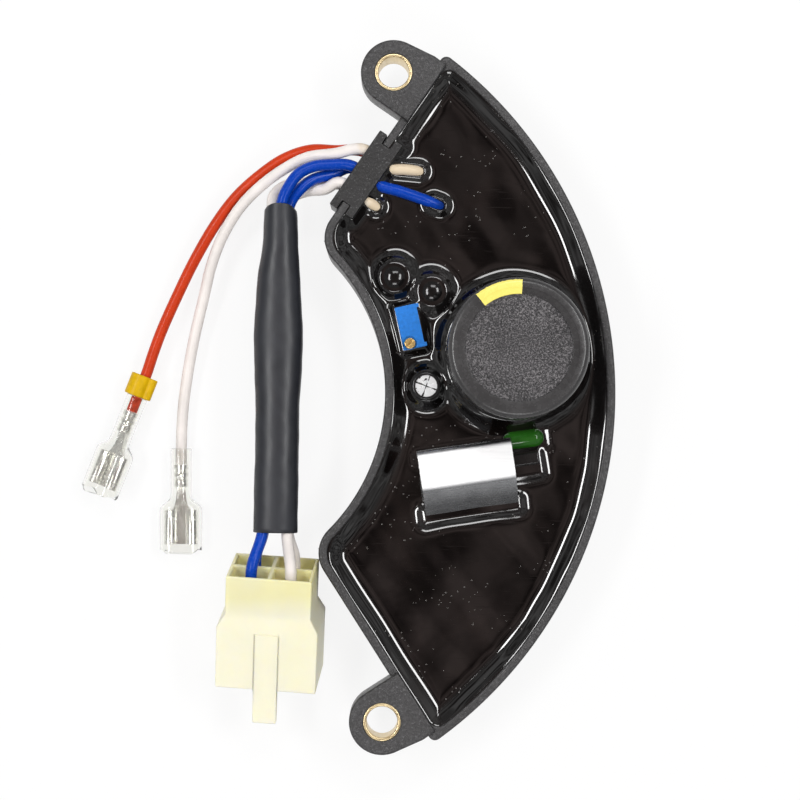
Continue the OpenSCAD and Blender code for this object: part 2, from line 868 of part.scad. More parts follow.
module power_body(g) {
    front = power_back - power_thick;
    translate([power_x - g, front - g, power_foot - g])
        cube([power_l + 2 * g, power_thick + 2 * g, power_step - power_foot + 2 * g]);
    translate([power_x - g, power_back - power_tab - g, power_foot])
        cube([power_l + 2 * g, power_tab + 2 * g, power_top - power_foot + g]);
    for (i = [-1, 0, 1])
        translate([power_x + power_l / 2 + 2.54 * i - 0.4 - g, power_back - 2.4 - g, board_top])
            cube([0.8 + 2 * g, 0.5 + 2 * g, power_foot - board_top + 1]);
    translate([power_x - g, power_back - 1.3 - g, power_foot])
        cube([sink_l / 2 - power_x - 0.2 + 2 * g, 1.3 + 2 * g, sink_top - sink_t - power_foot]);
}

module power_transistor() {
    color([0.08, 0.08, 0.09])
    translate([sink_at[0], sink_at[1], 0])
        rotate(sink_turn)
            power_body(0);
}

module film_plan(g, h) {
    linear_extrude(h) {
        square([film_w - film_t, film_t + 2 * g], center = true);
        for (side = [1, -1])
            translate([side * (film_w - film_t) / 2, 0])
                circle(film_t / 2 + g, $fn = 48);
    }
}

module film_capacitor() {
    h = film_top - board_top;
    r = film_t / 2 - 0.2;
    color([0.13, 0.36, 0.1])
    on_board(film_at, film_turn) {
        intersection() {
            film_plan(0, h);
            rotate([90, 0, 90])
                translate([0, 0, -film_w])
                    linear_extrude(2 * film_w) {
                        translate([-film_t, 0])
                            square([2 * film_t, h - r]);
                        translate([0, h - r])
                            scale([1.2, 1])
                                circle(r, $fn = 48);
                    }
        }
    }
}

// Pieces on the board under the resin

module axial(l, r, g) {
    rotate([0, 90, 0])
        cylinder(h = l + 2 * g, r = r + g, center = true, $fn = 32);
    for (side = [1, -1]) {
        translate([side * (l / 2 + 0.8), 0, 0])
            rotate([0, 90, 0])
                cylinder(h = 2 + 2 * g, r = axial_pin_r + g, center = true, $fn = 24);
        translate([side * (l / 2 + 1.8 - axial_pin_r), 0, -r])
            cylinder(h = r, r = axial_pin_r + g, $fn = 24);
    }
}

module diode_set(g) {
    for (a = [-28, -32.5, -37, -41.5])
        on_board(about_arc(diode_place_r, a), a)
            translate([0, 0, diode_r])
                axial(diode_l, diode_r, g);
}

module rectifier_diodes() {
    color([0.1, 0.1, 0.1])
    diode_set(0);
}

module resistor_set(g) {
    for (a = [31, 35.5, 40])
        on_board(about_arc(resistor_place_r, a), a)
            translate([0, 0, resistor_r])
                axial(resistor_l, resistor_r, g);
}

module resistors() {
    color([0.78, 0.66, 0.5])
    resistor_set(0);
}

module chip_body(g) {
    translate([-4.8 - g, -3.2 - g, 0.5 - g])
        cube([9.6 + 2 * g, 6.4 + 2 * g, 3.4 + 2 * g]);
    for (i = [0:3], side = [1, -1])
        translate([-3.81 + 2.54 * i - 0.25 - g, side * 3.5 - 0.35 - g, 0])
            cube([0.5 + 2 * g, 0.7 + 2 * g, 2]);
}

module control_chip() {
    color([0.09, 0.09, 0.09])
    on_board(chip_at, -38)
        chip_body(0);
}

// Leads

module red_lead() {
    color([0.82, 0.16, 0.06])
    tube(red_route, lead_r);
}

module white_lead() {
    color([0.93, 0.91, 0.89])
    tube(white_route, lead_r);
}

module blue_lead_outer() {
    color([0.02, 0.2, 0.7])
    tube(blue_outer_route, lead_r);
}

module blue_lead_inner() {
    color([0.02, 0.2, 0.7])
    tube(blue_inner_route, lead_r);
}

module connector_white_lead_upper() {
    color([0.93, 0.91, 0.89])
    tube(pale_upper_route, lead_r);
}

module connector_white_lead_lower() {
    color([0.93, 0.91, 0.89])
    tube(pale_lower_route, lead_r);
}

module lead_sleeve() {
    color([0.15, 0.15, 0.16])
    difference() {
        wrap_solid(0, 0);
        wrap_solid(wrap_t, 1);
    }
}

// Connector

module conn_frame() {
    translate(conn_at)
        rotate([0, 0, conn_yaw])
            rotate([conn_tilt, 0, 0])
                rotate([0, conn_roll, 180])
                    mirror([1, 0, 0])
                        children();
}

// Block from one length to another, centred across and up
module conn_block(from, to, w, h) {
    translate([-w / 2, from, -h / 2])
        cube([w, to - from, h]);
}

module connector_housing() {
    cavity = conn_rear_l + conn_web;
    color([0.95, 0.92, 0.76])
    conn_frame() {
        difference() {
            union() {
                conn_block(0, conn_rear_l + 1, conn_rear_w, conn_rear_h);
                conn_block(conn_rear_l + conn_shoulder, conn_l, conn_w, conn_h);
                hull() {
                    conn_block(conn_rear_l, conn_rear_l + 1, conn_rear_w, conn_rear_h);
                    conn_block(conn_rear_l + conn_shoulder, conn_rear_l + conn_shoulder + 1,
                        conn_w, conn_h);
                }
                translate([-tongue_w / 2, conn_rear_l + conn_shoulder + 1, conn_h / 2 - tongue_t + 0.4])
                    cube([tongue_w, conn_l - conn_rear_l - conn_shoulder - 1 + tongue_l, tongue_t]);
            }
            for (x = [1, -1], z = [1, -1])
                translate([x * cell_x - (cell_x - cell_wall / 2), -1,
                    z * cell_z - (cell_z - cell_wall / 2)])
                    cube([2 * cell_x - cell_wall, conn_rear_l + 1, 2 * cell_z - cell_wall]);
            conn_block(cavity, conn_l + 1, conn_w - 2 * conn_wall, conn_h - 2 * conn_wall);
            for (x = [1, -1], z = [1, -1])
                translate([x * cell_x, conn_l / 2, z * cell_z])
                    cube([tab_w + 0.2, conn_l - 4, tab_t + 0.2], center = true);
        }
    }
}

module connector_tabs() {
    color([0.8, 0.79, 0.76])
    conn_frame() {
        for (x = [1, -1], z = [1, -1])
            translate([x * cell_x, 0, z * cell_z]) {
                translate([-1.6, wire_depth + 0.1, -1.5])
                    cube([3.2, 3.6, 3]);
                translate([-tab_w / 2, wire_depth + 3.7, -tab_t / 2])
                    cube([tab_w, conn_rear_l + conn_web + tab_reach - wire_depth - 3.7, tab_t]);
            }
    }
}

// Spade terminals and their clear sleeves

module boot_frame(at, yaw, roll, z) {
    translate([at[0], at[1], z])
        rotate([0, 0, yaw])
            rotate([90, 0, 0])
                rotate([0, 0, roll])
                    children();
}

module flat_round(w, h) {
    square([w - h, h], center = true);
    for (side = [1, -1])
        translate([side * (w - h) / 2, 0])
            circle(h / 2, $fn = 32);
}

// Clear sleeve along its length, made smaller all round by t
module boot_solid(t, over) {
    neck = boot_neck - 2 * t;
    translate([0, 0, -over])
        cylinder(h = boot_neck_l + over, d = neck, $fn = 32);
    hull() {
        translate([0, 0, boot_neck_l - 0.01])
            cylinder(h = 0.01, d = neck, $fn = 32);
        translate([0, 0, boot_neck_l + boot_taper])
            linear_extrude(0.01)
                flat_round(boot_w - 2 * t, boot_h - 2 * t);
    }
    translate([0, 0, boot_neck_l + boot_taper])
        linear_extrude(boot_l - boot_neck_l - boot_taper + over)
            flat_round(boot_w - 2 * t, boot_h - 2 * t);
}

module boot() {
    difference() {
        boot_solid(0, 0);
        boot_solid(boot_wall, 1);
    }
}

// Receptacle for a flat tab, with its crimp round the end of the lead
module receptacle() {
    blade = boot_neck_l + boot_taper + 0.6;
    translate([0, 0, crimp_at + 0.1])
        cylinder(h = 5, r = lead_r + 0.35, $fn = 32);
    translate([-1.3, -0.5, crimp_at + 5])
        cube([2.6, 1, blade - crimp_at - 5]);
    difference() {
        translate([-3.7, -1.3, blade])
            cube([7.4, 2.6, 7.6]);
        translate([-3.2, -0.9, blade + 0.8])
            cube([6.4, 0.95, 8]);
        translate([-0.7, 0, blade - 1])
            cube([1.4, 2, 10]);
    }
}

module red_spade_terminal() {
    color([0.75, 0.75, 0.74])
    boot_frame(red_boot_at, red_boot_yaw, red_boot_roll, red_boot_z)
        receptacle();
}

module red_terminal_sleeve() {
    color([0.93, 0.93, 0.9])
    boot_frame(red_boot_at, red_boot_yaw, red_boot_roll, red_boot_z)
        boot();
}

module white_spade_terminal() {
    color([0.75, 0.75, 0.74])
    boot_frame(white_boot_at, white_boot_yaw, 0, boot_lift)
        receptacle();
}

module white_terminal_sleeve() {
    color([0.93, 0.93, 0.9])
    boot_frame(white_boot_at, white_boot_yaw, 0, boot_lift)
        boot();
}

module marker_tag() {
    color([0.95, 0.79, 0.02])
    boot_frame(along_boot(red_boot_at, red_boot_yaw, -tag_l - 0.1, 0), red_boot_yaw, 0, red_boot_z) {
        difference() {
            linear_extrude(tag_l) {
                translate([-0.7, 0])
                    circle(tag_r, $fn = 48);
                translate([tag_r - 0.5, 0.3])
                    circle(tag_fold_r, $fn = 32);
            }
            translate([0, 0, -1])
                cylinder(h = tag_l + 2, r = lead_r + lead_gap, $fn = 32);
        }
    }
}

housing();
upper_bush();
lower_bush();
wire_clip();
potting_resin();
circuit_board();
capacitor_can();
capacitor_top_disc();
capacitor_sleeve();
dipped_capacitor_upper();
dipped_capacitor_lower();
bare_capacitor_can();
bare_capacitor_sleeve();
trimmer_body();
trimmer_screw();
heat_sink();
power_transistor();
film_capacitor();
rectifier_diodes();
resistors();
control_chip();
red_lead();
white_lead();
blue_lead_outer();
blue_lead_inner();
connector_white_lead_upper();
connector_white_lead_lower();
lead_sleeve();
connector_housing();
connector_tabs();
red_spade_terminal();
red_terminal_sleeve();
white_spade_terminal();
white_terminal_sleeve();
marker_tag();
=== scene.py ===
import math

import bmesh
import bpy
import numpy as np
from mathutils import Matrix, Vector


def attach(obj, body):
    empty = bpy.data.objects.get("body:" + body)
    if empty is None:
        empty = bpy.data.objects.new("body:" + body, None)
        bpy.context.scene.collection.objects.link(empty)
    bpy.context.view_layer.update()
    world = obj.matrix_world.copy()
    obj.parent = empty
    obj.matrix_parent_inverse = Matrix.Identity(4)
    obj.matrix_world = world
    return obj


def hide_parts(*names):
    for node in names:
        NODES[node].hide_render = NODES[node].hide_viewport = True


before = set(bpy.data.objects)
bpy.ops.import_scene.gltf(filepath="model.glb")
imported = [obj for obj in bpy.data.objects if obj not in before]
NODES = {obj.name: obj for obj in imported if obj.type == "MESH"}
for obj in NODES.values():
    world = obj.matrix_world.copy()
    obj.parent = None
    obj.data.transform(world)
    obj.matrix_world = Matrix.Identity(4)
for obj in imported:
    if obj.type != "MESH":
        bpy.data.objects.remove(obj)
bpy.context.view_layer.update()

BODY = "regulator"
MM = 0.001
PER_M = 1000.0

scene = bpy.context.scene
scene.view_settings.view_transform = "Standard"

# Sizes of the solids, in millimetres
OUTER_R, INNER_R, WALL = 91.9, 42.1, 1.9
INNER_CORNER, OUTER_CORNER = 7.0, 1.5
POCKET_INNER, POCKET_OUTER = 5.1, 2.2
END_A, END_OFF = math.radians(56.5), 3.7
BOLT_Y, BOLT_CIRCLE = 70.0, 82.0
BUSH_R, BORE_R = 4.1, 3.35
ARC_X = -math.sqrt(BOLT_CIRCLE ** 2 - BOLT_Y ** 2)
RIM_Z, BACK_Z, FLOOR_Z, RESIN_Z, BOARD_TOP = 7.0, -9.5, -7.5, 4.4, -3.9
EAR_T, EAR_R, EAR_FLARE = 8.0, 7.1, math.radians(8.5)
LEAD_R = 1.25
CAP_R, CAP_H = 14.7, 30.0
SMALL_R, DIPPED_H, BARE_H = 3.15, 11.0, 11.6
TRIM_W, TRIM_L = 4.8, 9.5
SINK_L, SINK_LEAN = 20.3, 1.1
FILM_L, FILM_T, FILM_RISE = 9, 4, 2.3
BUSH_X = -ARC_X * math.cos(END_A) + BOLT_Y * math.sin(END_A)
CLIP_L, CLIP_W, CLIP_T, CLIP_FROM_EAR = 19.4, 6.0, 2.2, 4.8
CLIP_X, CLIP_Y = BUSH_X - EAR_R - CLIP_FROM_EAR - CLIP_L / 2, -END_OFF - WALL / 2
CLIP_IN, CLIP_OUT = CLIP_Y - CLIP_W / 2, CLIP_Y + CLIP_W / 2
PITCH, ROW_UP, ROW_LOW = 4.4, RESIN_Z + 0.55, RESIN_Z - 2.65
BOOT_HALF = 2.7
BOOT_LIFT = BACK_Z + BOOT_HALF
# What the tray and the ears give up, to stay inside the box of the solids
TRAY_INSIDE, EAR_INSIDE = 0.02, 0.005


def about_arc(r, deg):
    """A place from the middle of the crescent's arcs."""
    a = math.radians(deg)
    return (ARC_X + r * math.cos(a), r * math.sin(a))


def on_end(x, y, z):
    """A place in the upper end wall's frame: x along it from the arcs' middle, y out of the tray."""
    c, s = math.cos(END_A), math.sin(END_A)
    return (ARC_X + x * c - y * s, x * s + y * c, z)


CAP_AT = about_arc(70.4, 8)
DIP_UP_AT, DIP_LOW_AT = about_arc(50.7, 30.5), about_arc(56.7, 23.7)
BARE_AT = about_arc(51, 2.5)
TRIM_AT, TRIM_TURN = about_arc(49.5, 17.6), math.radians(13.4)
SINK_AT, SINK_TURN = about_arc(61.7, -14), math.radians(9.4)
FILM_TURN = math.radians(9)


def sink_place(x, y):
    """A place from the heat sink's middle, along and across it."""
    c, s = math.cos(SINK_TURN), math.sin(SINK_TURN)
    return (SINK_AT[0] + x * c - y * s, SINK_AT[1] + x * s + y * c)


FILM_AT = sink_place(SINK_L / 2 + 3.05, 4)


# Camera, fitted to the photograph

CAM_LENS, CAM_SENSOR = 88.4, 36
CAM_AT, CAM_TO, CAM_UP = (1.8, -13.7, 430.5), (2.65, -0.89, 7.0), (-0.0178, 0.9998, 0)


def aim(obj, at, up):
    """Turns an object's -z to a point, with its y towards up."""
    loc = obj.location.copy()
    z = (loc - Vector(at)).normalized()
    x = Vector(up).cross(z).normalized()
    y = z.cross(x)
    obj.matrix_world = Matrix.Translation(loc) @ Matrix((x, y, z)).transposed().to_4x4()


cam = bpy.data.objects.new("camera", bpy.data.cameras.new("camera"))
scene.collection.objects.link(cam)
cam.data.sensor_width = CAM_SENSOR
cam.data.lens = CAM_LENS
cam.data.clip_start, cam.data.clip_end = 0.01, 20
cam.location = Vector(CAM_AT) * MM
aim(cam, Vector(CAM_TO) * MM, CAM_UP)
scene.camera = cam


# Materials

class Nodes:
    """Short calls for the nodes of one tree."""

    def __init__(self, nt):
        self.nt = nt

    def put(self, sock, v):
        if isinstance(v, bpy.types.NodeSocket):
            self.nt.links.new(v, sock)
        else:
            sock.default_value = v

    def node(self, kind, ins, out=0, **props):
        n = self.nt.nodes.new("ShaderNode" + kind)
        for k, v in props.items():
            setattr(n, k, v)
        for k, v in ins.items():
            self.put(n.inputs[k], v)
        return n.outputs[out]

    def ramp(self, fac, stops):
        n = self.nt.nodes.new("ShaderNodeValToRGB")
        el = n.color_ramp.elements
        while len(el) < len(stops):
            el.new(0.5)
        for e, (p, c) in zip(el, stops):
            e.position = p
            e.color = (*c, 1)
        self.put(n.inputs["Fac"], fac)
        return n.outputs["Color"]

    def span(self, v, a, b, lo, hi):
        return self.node("MapRange", {"Value": v, "From Min": a, "From Max": b, "To Min": lo, "To Max": hi})


class Mat(Nodes):
    """One node material."""

    def __init__(self, name, base, rough, metal=0.0, **extra):
        self.m = bpy.data.materials.new(name)
        self.m.use_nodes = True
        super().__init__(self.m.node_tree)
        self.b = self.nt.nodes["Principled BSDF"]
        self.set("Base Color", (*base, 1))
        self.set("Roughness", rough)
        self.set("Metallic", metal)
        for k, v in extra.items():
            self.set(k.replace("_", " "), v)
        self.co = self.nt.nodes.new("ShaderNodeTexCoord").outputs["Object"]

    def set(self, name, v):
        self.put(self.b.inputs[name], v)

    def stretch(self, scale, turn=(0, 0, 0)):
        return self.node("Mapping", {"Vector": self.co, "Rotation": turn, "Scale": scale})

    def noise(self, scale, detail=3.0, rough=0.55, co=None):
        return self.node("TexNoise", {"Vector": co or self.co, "Scale": scale, "Detail": detail,
                                      "Roughness": rough}, "Fac")

    def cells(self, scale):
        return self.node("TexVoronoi", {"Vector": self.co, "Scale": scale}, "Distance", feature="F1")

    def math(self, op, a, b=0.0):
        return self.node("Math", {0: a, 1: b}, operation=op)

    def add(self, a, b):
        return self.math("ADD", a, b)

    def mul(self, a, b):
        return self.math("MULTIPLY", a, b)

    def mix(self, fac, a, b):
        n = self.nt.nodes.new("ShaderNodeMix")
        n.data_type = "RGBA"
        self.put(n.inputs["Factor"], fac)
        for s, v in ((n.inputs[6], a), (n.inputs[7], b)):
            self.put(s, v if isinstance(v, bpy.types.NodeSocket) else (*v, 1))
        return n.outputs[2]

    def bump(self, height, dist, strength):
        return self.node("Bump", {"Height": height, "Distance": dist * MM, "Strength": strength}, "Normal")

    def place(self, at):
        """Place from a point: x and y in metres, radius in millimetres and angle in radians."""
        v = self.node("VectorMath", {0: self.co, 1: (-at[0] * MM, -at[1] * MM, 0)}, operation="ADD")
        s = self.nt.nodes.new("ShaderNodeSeparateXYZ")
        self.put(s.inputs[0], v)
        x, y = s.outputs[0], s.outputs[1]
        flat = self.node("CombineXYZ", {"X": x, "Y": y})
        r = self.node("VectorMath", {0: flat}, "Value", operation="LENGTH")
        return x, y, self.mul(r, PER_M), self.math("ARCTAN2", y, x)


def times(base, k):
    return tuple(min(1, c * k) for c in base)


def moulding(name, base, rough, grain, depth, light=1.5):
    """Fine moulded or dipped surface; grain is its scale, depth its bump in millimetres."""
    m = Mat(name, base, rough)
    fine = m.noise(grain, 3, 0.6)
    pits = m.cells(grain * 0.7)
    broad = m.noise(60, 4)
    mixed = m.add(m.mul(fine, 0.7), m.mul(pits, 0.5))
    tone = m.add(m.mul(fine, 0.5), m.mul(broad, 0.5))
    m.set("Base Color", m.ramp(tone, [(0.32, times(base, 0.75)), (0.68, times(base, light))]))
    m.set("Roughness", m.span(broad, 0.3, 0.7, rough - 0.06, rough + 0.08))
    m.set("Normal", m.bump(mixed, depth, 0.8))
    return m


def grained(name, base, rough, grain=1500, depth=0.12):
    """Coarse spark-eroded moulding texture, with pale specks painted in as glints (painted highlights)."""
    m = Mat(name, base, rough)
    fine = m.noise(grain, 4, 0.65)
    pits = m.cells(grain * 1.3)
    broad = m.noise(45, 4)
    tone = m.add(m.mul(fine, 0.7), m.mul(broad, 0.3))
    dark = m.ramp(tone, [(0.36, times(base, 0.55)), (0.5, base), (0.66, times(base, 1.9))])
    # Painted highlights: pale specks mixed into the colour stand in for glints on the grain.
    speck = m.math("GREATER_THAN", m.noise(grain * 1.7, 2, 0.6), 0.645)
    m.set("Base Color", m.mix(m.mul(speck, 0.35), dark, (0.22, 0.22, 0.225)))
    m.set("Roughness", m.span(fine, 0.3, 0.7, rough + 0.12, rough - 0.1))
    m.set("Normal", m.bump(m.add(fine, m.mul(pits, 0.5)), depth, 0.85))
    return m


def insulation(name, base, rough=0.3, stain=None):
    """Wire covering; stain gives where along x the resin has coloured it, and the colour."""
    m = Mat(name, base, rough, Specular_IOR_Level=0.2)
    broad = m.noise(140, 3)
    fine = m.noise(1500, 2)
    tone = m.ramp(broad, [(0.3, times(base, 0.88)), (0.7, times(base, 1.06))])
    if stain:
        start, full, colour = stain
        at = m.add(m.mul(m.place((0, 0))[0], PER_M),
                   m.span(m.noise(500, 2), 0.3, 0.7, -1.0, 1.0))
        tone = m.mix(m.span(at, start, full, 0.0, 0.85), tone, colour)
    m.set("Base Color", tone)
    m.set("Roughness", m.span(fine, 0.3, 0.7, rough - 0.06, rough + 0.1))
    m.set("Normal", m.bump(m.add(m.mul(broad, 2.0), fine), 0.025, 0.5))
    return m


def metal(name, base, rough, grain=(900, 900, 900), turn=0.0, depth=0.008):
    """Metal with fine lines, as turned or rolled, and a faint stain."""
    m = Mat(name, base, rough, 1.0)
    co = m.stretch(grain, (0, 0, turn))
    lines = m.noise(1.0, 4, 0.65, co)
    stain = m.noise(220, 4)
    m.set("Base Color", m.ramp(stain, [(0.3, times(base, 0.86)), (0.7, base)]))
    m.set("Roughness", m.add(m.span(lines, 0.3, 0.7, rough - 0.07, rough + 0.08),
                             m.span(stain, 0.3, 0.7, -0.03, 0.05)))
    m.set("Normal", m.bump(lines, depth, 0.6))
    return m


def sheet_material():
    """Rolled aluminium with painted light: the top face painted near white and less metallic so it reads as
    lit, the bent flanges a darker painted metal, chosen by which way each face points.
    """
    m = metal("sheet_aluminium", (0.6, 0.605, 0.62), 0.24, (160, 2400, 2400), -SINK_TURN, 0.002)
    up = m.nt.nodes.new("ShaderNodeSeparateXYZ")
    m.put(up.inputs[0], m.nt.nodes.new("ShaderNodeTexCoord").outputs["Normal"])
    # Painted light by face direction: up-facing faces take the near-white lit colour, the bent flanges the
    # darker one.
    face = m.span(up.outputs[2], 0.8, 0.985, 0.0, 1.0)
    lines = m.noise(1.0, 3, 0.6, m.stretch((130, 2600, 2600), (0, 0, -SINK_TURN)))
    painted_lit_top = m.ramp(lines, [(0.3, (0.92, 0.925, 0.93)), (0.6, (0.985, 0.987, 0.99))])
    # Painted shade: a darker metal tone for the bent flanges, with a random stain in it.
    dark = m.ramp(m.noise(220, 4), [(0.3, (0.42, 0.425, 0.44)), (0.7, (0.56, 0.565, 0.58))])
    m.set("Base Color", m.mix(face, dark, painted_lit_top))
    m.set("Metallic", m.span(face, 0.0, 1.0, 1.0, 0.2))
    m.set("Roughness", m.add(m.span(face, 0.0, 1.0, 0.24, 0.45), m.span(lines, 0.3, 0.7, 0.0, 0.05)))
    return m


def resin_material():
    """Black poured resin with brown clouds, dust and hair scratches."""
    m = Mat("resin", (0.005, 0.0045, 0.0045), 0.06, Specular_IOR_Level=0.95)
    broad = m.noise(26, 4, 0.6)
    cloud = m.noise(110, 4, 0.6)
    dust = m.mul(m.math("LESS_THAN", m.cells(900), 0.15),
                 m.math("GREATER_THAN", m.noise(130, 3), 0.56))
    scratch = m.noise(1.0, 2, 0.5, m.stretch((160, 2600, 400), (0, 0, 0.5)))
    body = m.ramp(m.add(m.mul(broad, 0.6), m.mul(cloud, 0.4)),
                  [(0.36, (0.0012, 0.001, 0.001)), (0.55, (0.0035, 0.0026, 0.0025)),
                   (0.7, (0.011, 0.0078, 0.007))])
    m.set("Base Color", m.mix(m.mul(dust, 0.3), body, (0.1, 0.085, 0.07)))
    m.set("Roughness", m.add(m.span(broad, 0.35, 0.75, 0.03, 0.11),
                             m.add(m.mul(dust, 0.3),
                                   m.span(scratch, 0.62, 0.8, 0.0, 0.12))))
    m.set("Normal", m.bump(m.add(m.noise(150, 2), m.mul(dust, 0.3)), 0.05, 0.4))
    return m


def disc_material():
    """Coarse grey board on the large capacitor."""
    m = Mat("top_board", (0.06, 0.056, 0.06), 0.5)
    grit = m.cells(3300)
    lumps = m.noise(2900, 3, 0.75)
    broad = m.noise(120, 4)
    m.set("Base Color", m.ramp(m.add(m.mul(lumps, 0.9), m.mul(broad, 0.1)),
                               [(0.38, (0.006, 0.0055, 0.006)), (0.5, (0.036, 0.033, 0.036)),
                                (0.62, (0.2, 0.19, 0.195))]))
    m.set("Roughness", m.span(lumps, 0.3, 0.7, 0.55, 0.36))
    m.set("Normal", m.bump(m.add(m.mul(grit, 0.9), lumps), 0.16, 0.9))
    return m


def cap_sleeve_material():
    """Shrink sleeve with one plain yellow block on its turned-in edge."""
    m = Mat("shrink_sleeve_printed", (0.03, 0.03, 0.03), 0.24)
    r, a = m.place(CAP_AT)[2:]
    broad = m.noise(70, 3)
    fine = m.noise(900, 2)
    ragged = m.mul(m.math("SUBTRACT", m.noise(1200, 2), 0.5), 0.35)
    rr = m.add(r, ragged)
    aa = m.add(a, m.mul(ragged, 0.03))
    band = m.mul(m.math("GREATER_THAN", rr, 10.95), m.math("LESS_THAN", rr, 14.15))
    arc = m.mul(m.math("GREATER_THAN", aa, math.radians(88)),
                m.math("LESS_THAN", aa, math.radians(130)))
    dark = m.ramp(broad, [(0.3, (0.034, 0.033, 0.034)), (0.7, (0.056, 0.055, 0.056))])
    m.set("Base Color", m.mix(m.mul(band, arc), dark, (0.92, 0.8, 0.18)))
    m.set("Roughness", m.span(fine, 0.3, 0.7, 0.2, 0.32))
    m.set("Normal", m.bump(m.add(m.mul(broad, 3.0), fine), 0.012, 0.4))
    return m


def bare_top_material():
    """Scored aluminium top, spotted with resin."""
    m = Mat("can_top", (0.97, 0.975, 0.98), 0.34, 0.05)
    x, y, r = m.place(BARE_AT)[:3]
    blot = m.noise(620, 3)
    splash = m.math("GREATER_THAN", m.add(blot, m.mul(r, 0.055)), 0.74)
    # Millimetres from the two scores, which cross at a right angle
    c, s = 340.0, 940.0
    u = m.math("ABSOLUTE", m.add(m.mul(x, c), m.mul(y, s)))
    w = m.math("ABSOLUTE", m.math("SUBTRACT", m.mul(x, s), m.mul(y, c)))
    ragged = m.add(m.math("MINIMUM", u, w), m.span(blot, 0.3, 0.7, -0.14, 0.14))
    groove = m.math("LESS_THAN", ragged, 0.13)
    splash = m.math("MAXIMUM", splash, groove)
    lines = m.noise(1.0, 3, 0.6, m.stretch((900, 900, 900)))
    tone = m.ramp(m.noise(260, 3), [(0.35, (0.88, 0.89, 0.9)), (0.6, (0.98, 0.985, 0.99))])
    m.set("Base Color", m.mix(splash, tone, (0.012, 0.011, 0.011)))
    m.set("Metallic", m.math("SUBTRACT", 0.05, m.mul(splash, 0.05)))
    m.set("Roughness", m.span(lines, 0.3, 0.7, 0.28, 0.45))
    m.set("Normal", m.bump(m.add(lines, m.mul(splash, 2.0)), 0.02, 0.5))
    return m


def nylon_material():
    """Ivory nylon, more yellow towards the leads, with a few specks."""
    m = Mat("ivory_nylon", (0.95, 0.91, 0.66), 0.38, Subsurface_Weight=0.45, Subsurface_Scale=0.003)
    m.set("Subsurface Radius", (1.0, 0.85, 0.45))
    broad = m.noise(45, 4)
    fine = m.noise(1300, 3)
    speck = m.math("LESS_THAN", m.cells(160), 0.035)
    along = m.add(m.mul(m.place((0, 0))[1], PER_M), m.span(broad, 0.3, 0.7, -2.0, 2.0))
    tone = m.mix(m.span(along, -49.0, -44.0, 0.0, 1.0),
                 m.ramp(broad, [(0.3, (0.92, 0.865, 0.61)), (0.7, (0.94, 0.9, 0.75))]),
                 m.ramp(broad, [(0.3, (0.88, 0.8, 0.4)), (0.7, (0.91, 0.845, 0.53))]))
    m.set("Base Color", m.mix(m.mul(speck, 0.3), tone, (0.35, 0.3, 0.2)))
    m.set("Roughness", m.span(fine, 0.3, 0.7, 0.32, 0.5))
    m.set("Normal", m.bump(m.add(m.mul(broad, 4.0), fine), 0.025, 0.5))
    return m


def clear_material():
    m = Mat("clear_sleeve", (0.98, 0.978, 0.955), 0.06, Transmission_Weight=1.0, IOR=1.36)
    wave = m.noise(260, 2)
    fine = m.noise(1800, 2)
    m.set("Roughness", m.span(fine, 0.3, 0.7, 0.03, 0.13))
    m.set("Normal", m.bump(m.add(m.mul(wave, 2.0), fine), 0.012, 0.4))
    return m


MATS = {
    "black_moulding": grained("black_moulding", (0.034, 0.033, 0.034), 0.4),
    "clip_black": grained("clip_black", (0.015, 0.0145, 0.015), 0.36, 1300, 0.1),
    "brass": metal("brass", (0.84, 0.68, 0.4), 0.32, (1400, 1400, 200)),
    "screw_brass": metal("screw_brass", (0.97, 0.68, 0.27), 0.26, (1400, 1400, 1400)),
    "resin": resin_material(),
    "dipped": moulding("dipped_resin", (0.004, 0.0036, 0.0036), 0.08, 700, 0.014, 1.5),
    "top_board": disc_material(),
    "cap_sleeve": cap_sleeve_material(),
    "small_sleeve": moulding("small_sleeve", (0.016, 0.016, 0.017), 0.2, 900, 0.01),
    "can_top": bare_top_material(),
    "can": metal("can", (0.8, 0.8, 0.81), 0.3),
    "trimmer_blue": moulding("trimmer_blue", (0.016, 0.19, 0.64), 0.36, 1600, 0.015, 1.2),
    "sheet_aluminium": sheet_material(),
    "black_epoxy": moulding("black_epoxy", (0.012, 0.0115, 0.0115), 0.1, 800, 0.008, 1.5),
    "green_coat": moulding("green_coat", (0.014, 0.085, 0.007), 0.08, 500, 0.012, 1.6),
    "board": moulding("board", (0.45, 0.30, 0.12), 0.5, 900, 0.02),
    "resistor_coat": moulding("resistor_coat", (0.55, 0.42, 0.26), 0.35, 900, 0.02),
    "red": insulation("red_insulation", (0.58, 0.045, 0.009)),
    "white": insulation("white_insulation", (0.86, 0.81, 0.775), 0.3, (-8.0, -4.5, (0.72, 0.58, 0.38))),
    "blue": insulation("blue_insulation", (0.001, 0.05, 0.42), 0.24, (9.0, 11.5, (0.002, 0.016, 0.09))),
    "lead_wrap": moulding("lead_wrap", (0.018, 0.0195, 0.025), 0.4, 420, 0.012, 1.25),
    "ivory_nylon": nylon_material(),
    "tinned": metal("tinned_brass", (0.95, 0.945, 0.91), 0.22, (600, 600, 600)),
    "clear_sleeve": clear_material(),
    "yellow_tag": moulding("yellow_tag", (0.77, 0.47, 0.001), 0.42, 700, 0.03, 1.08),
}
MATS["tinned"].set("Metallic", 0.75)
MATS["trimmer_blue"].set("Specular IOR Level", 0.3)
MATS["screw_brass"].set("Metallic", 0.65)
MATS["yellow_tag"].set("Specular IOR Level", 0.2)


# Mesh helpers

SHARP = 32


def soften(bm, deg=SHARP):
    """Smooth faces, with edges over deg degrees left sharp."""
    bmesh.ops.recalc_face_normals(bm, faces=bm.faces)
    for f in bm.faces:
        f.smooth = True
    for e in bm.edges:
        if len(e.link_faces) == 2:
            e.smooth = e.calc_face_angle(0.0) < math.radians(deg)


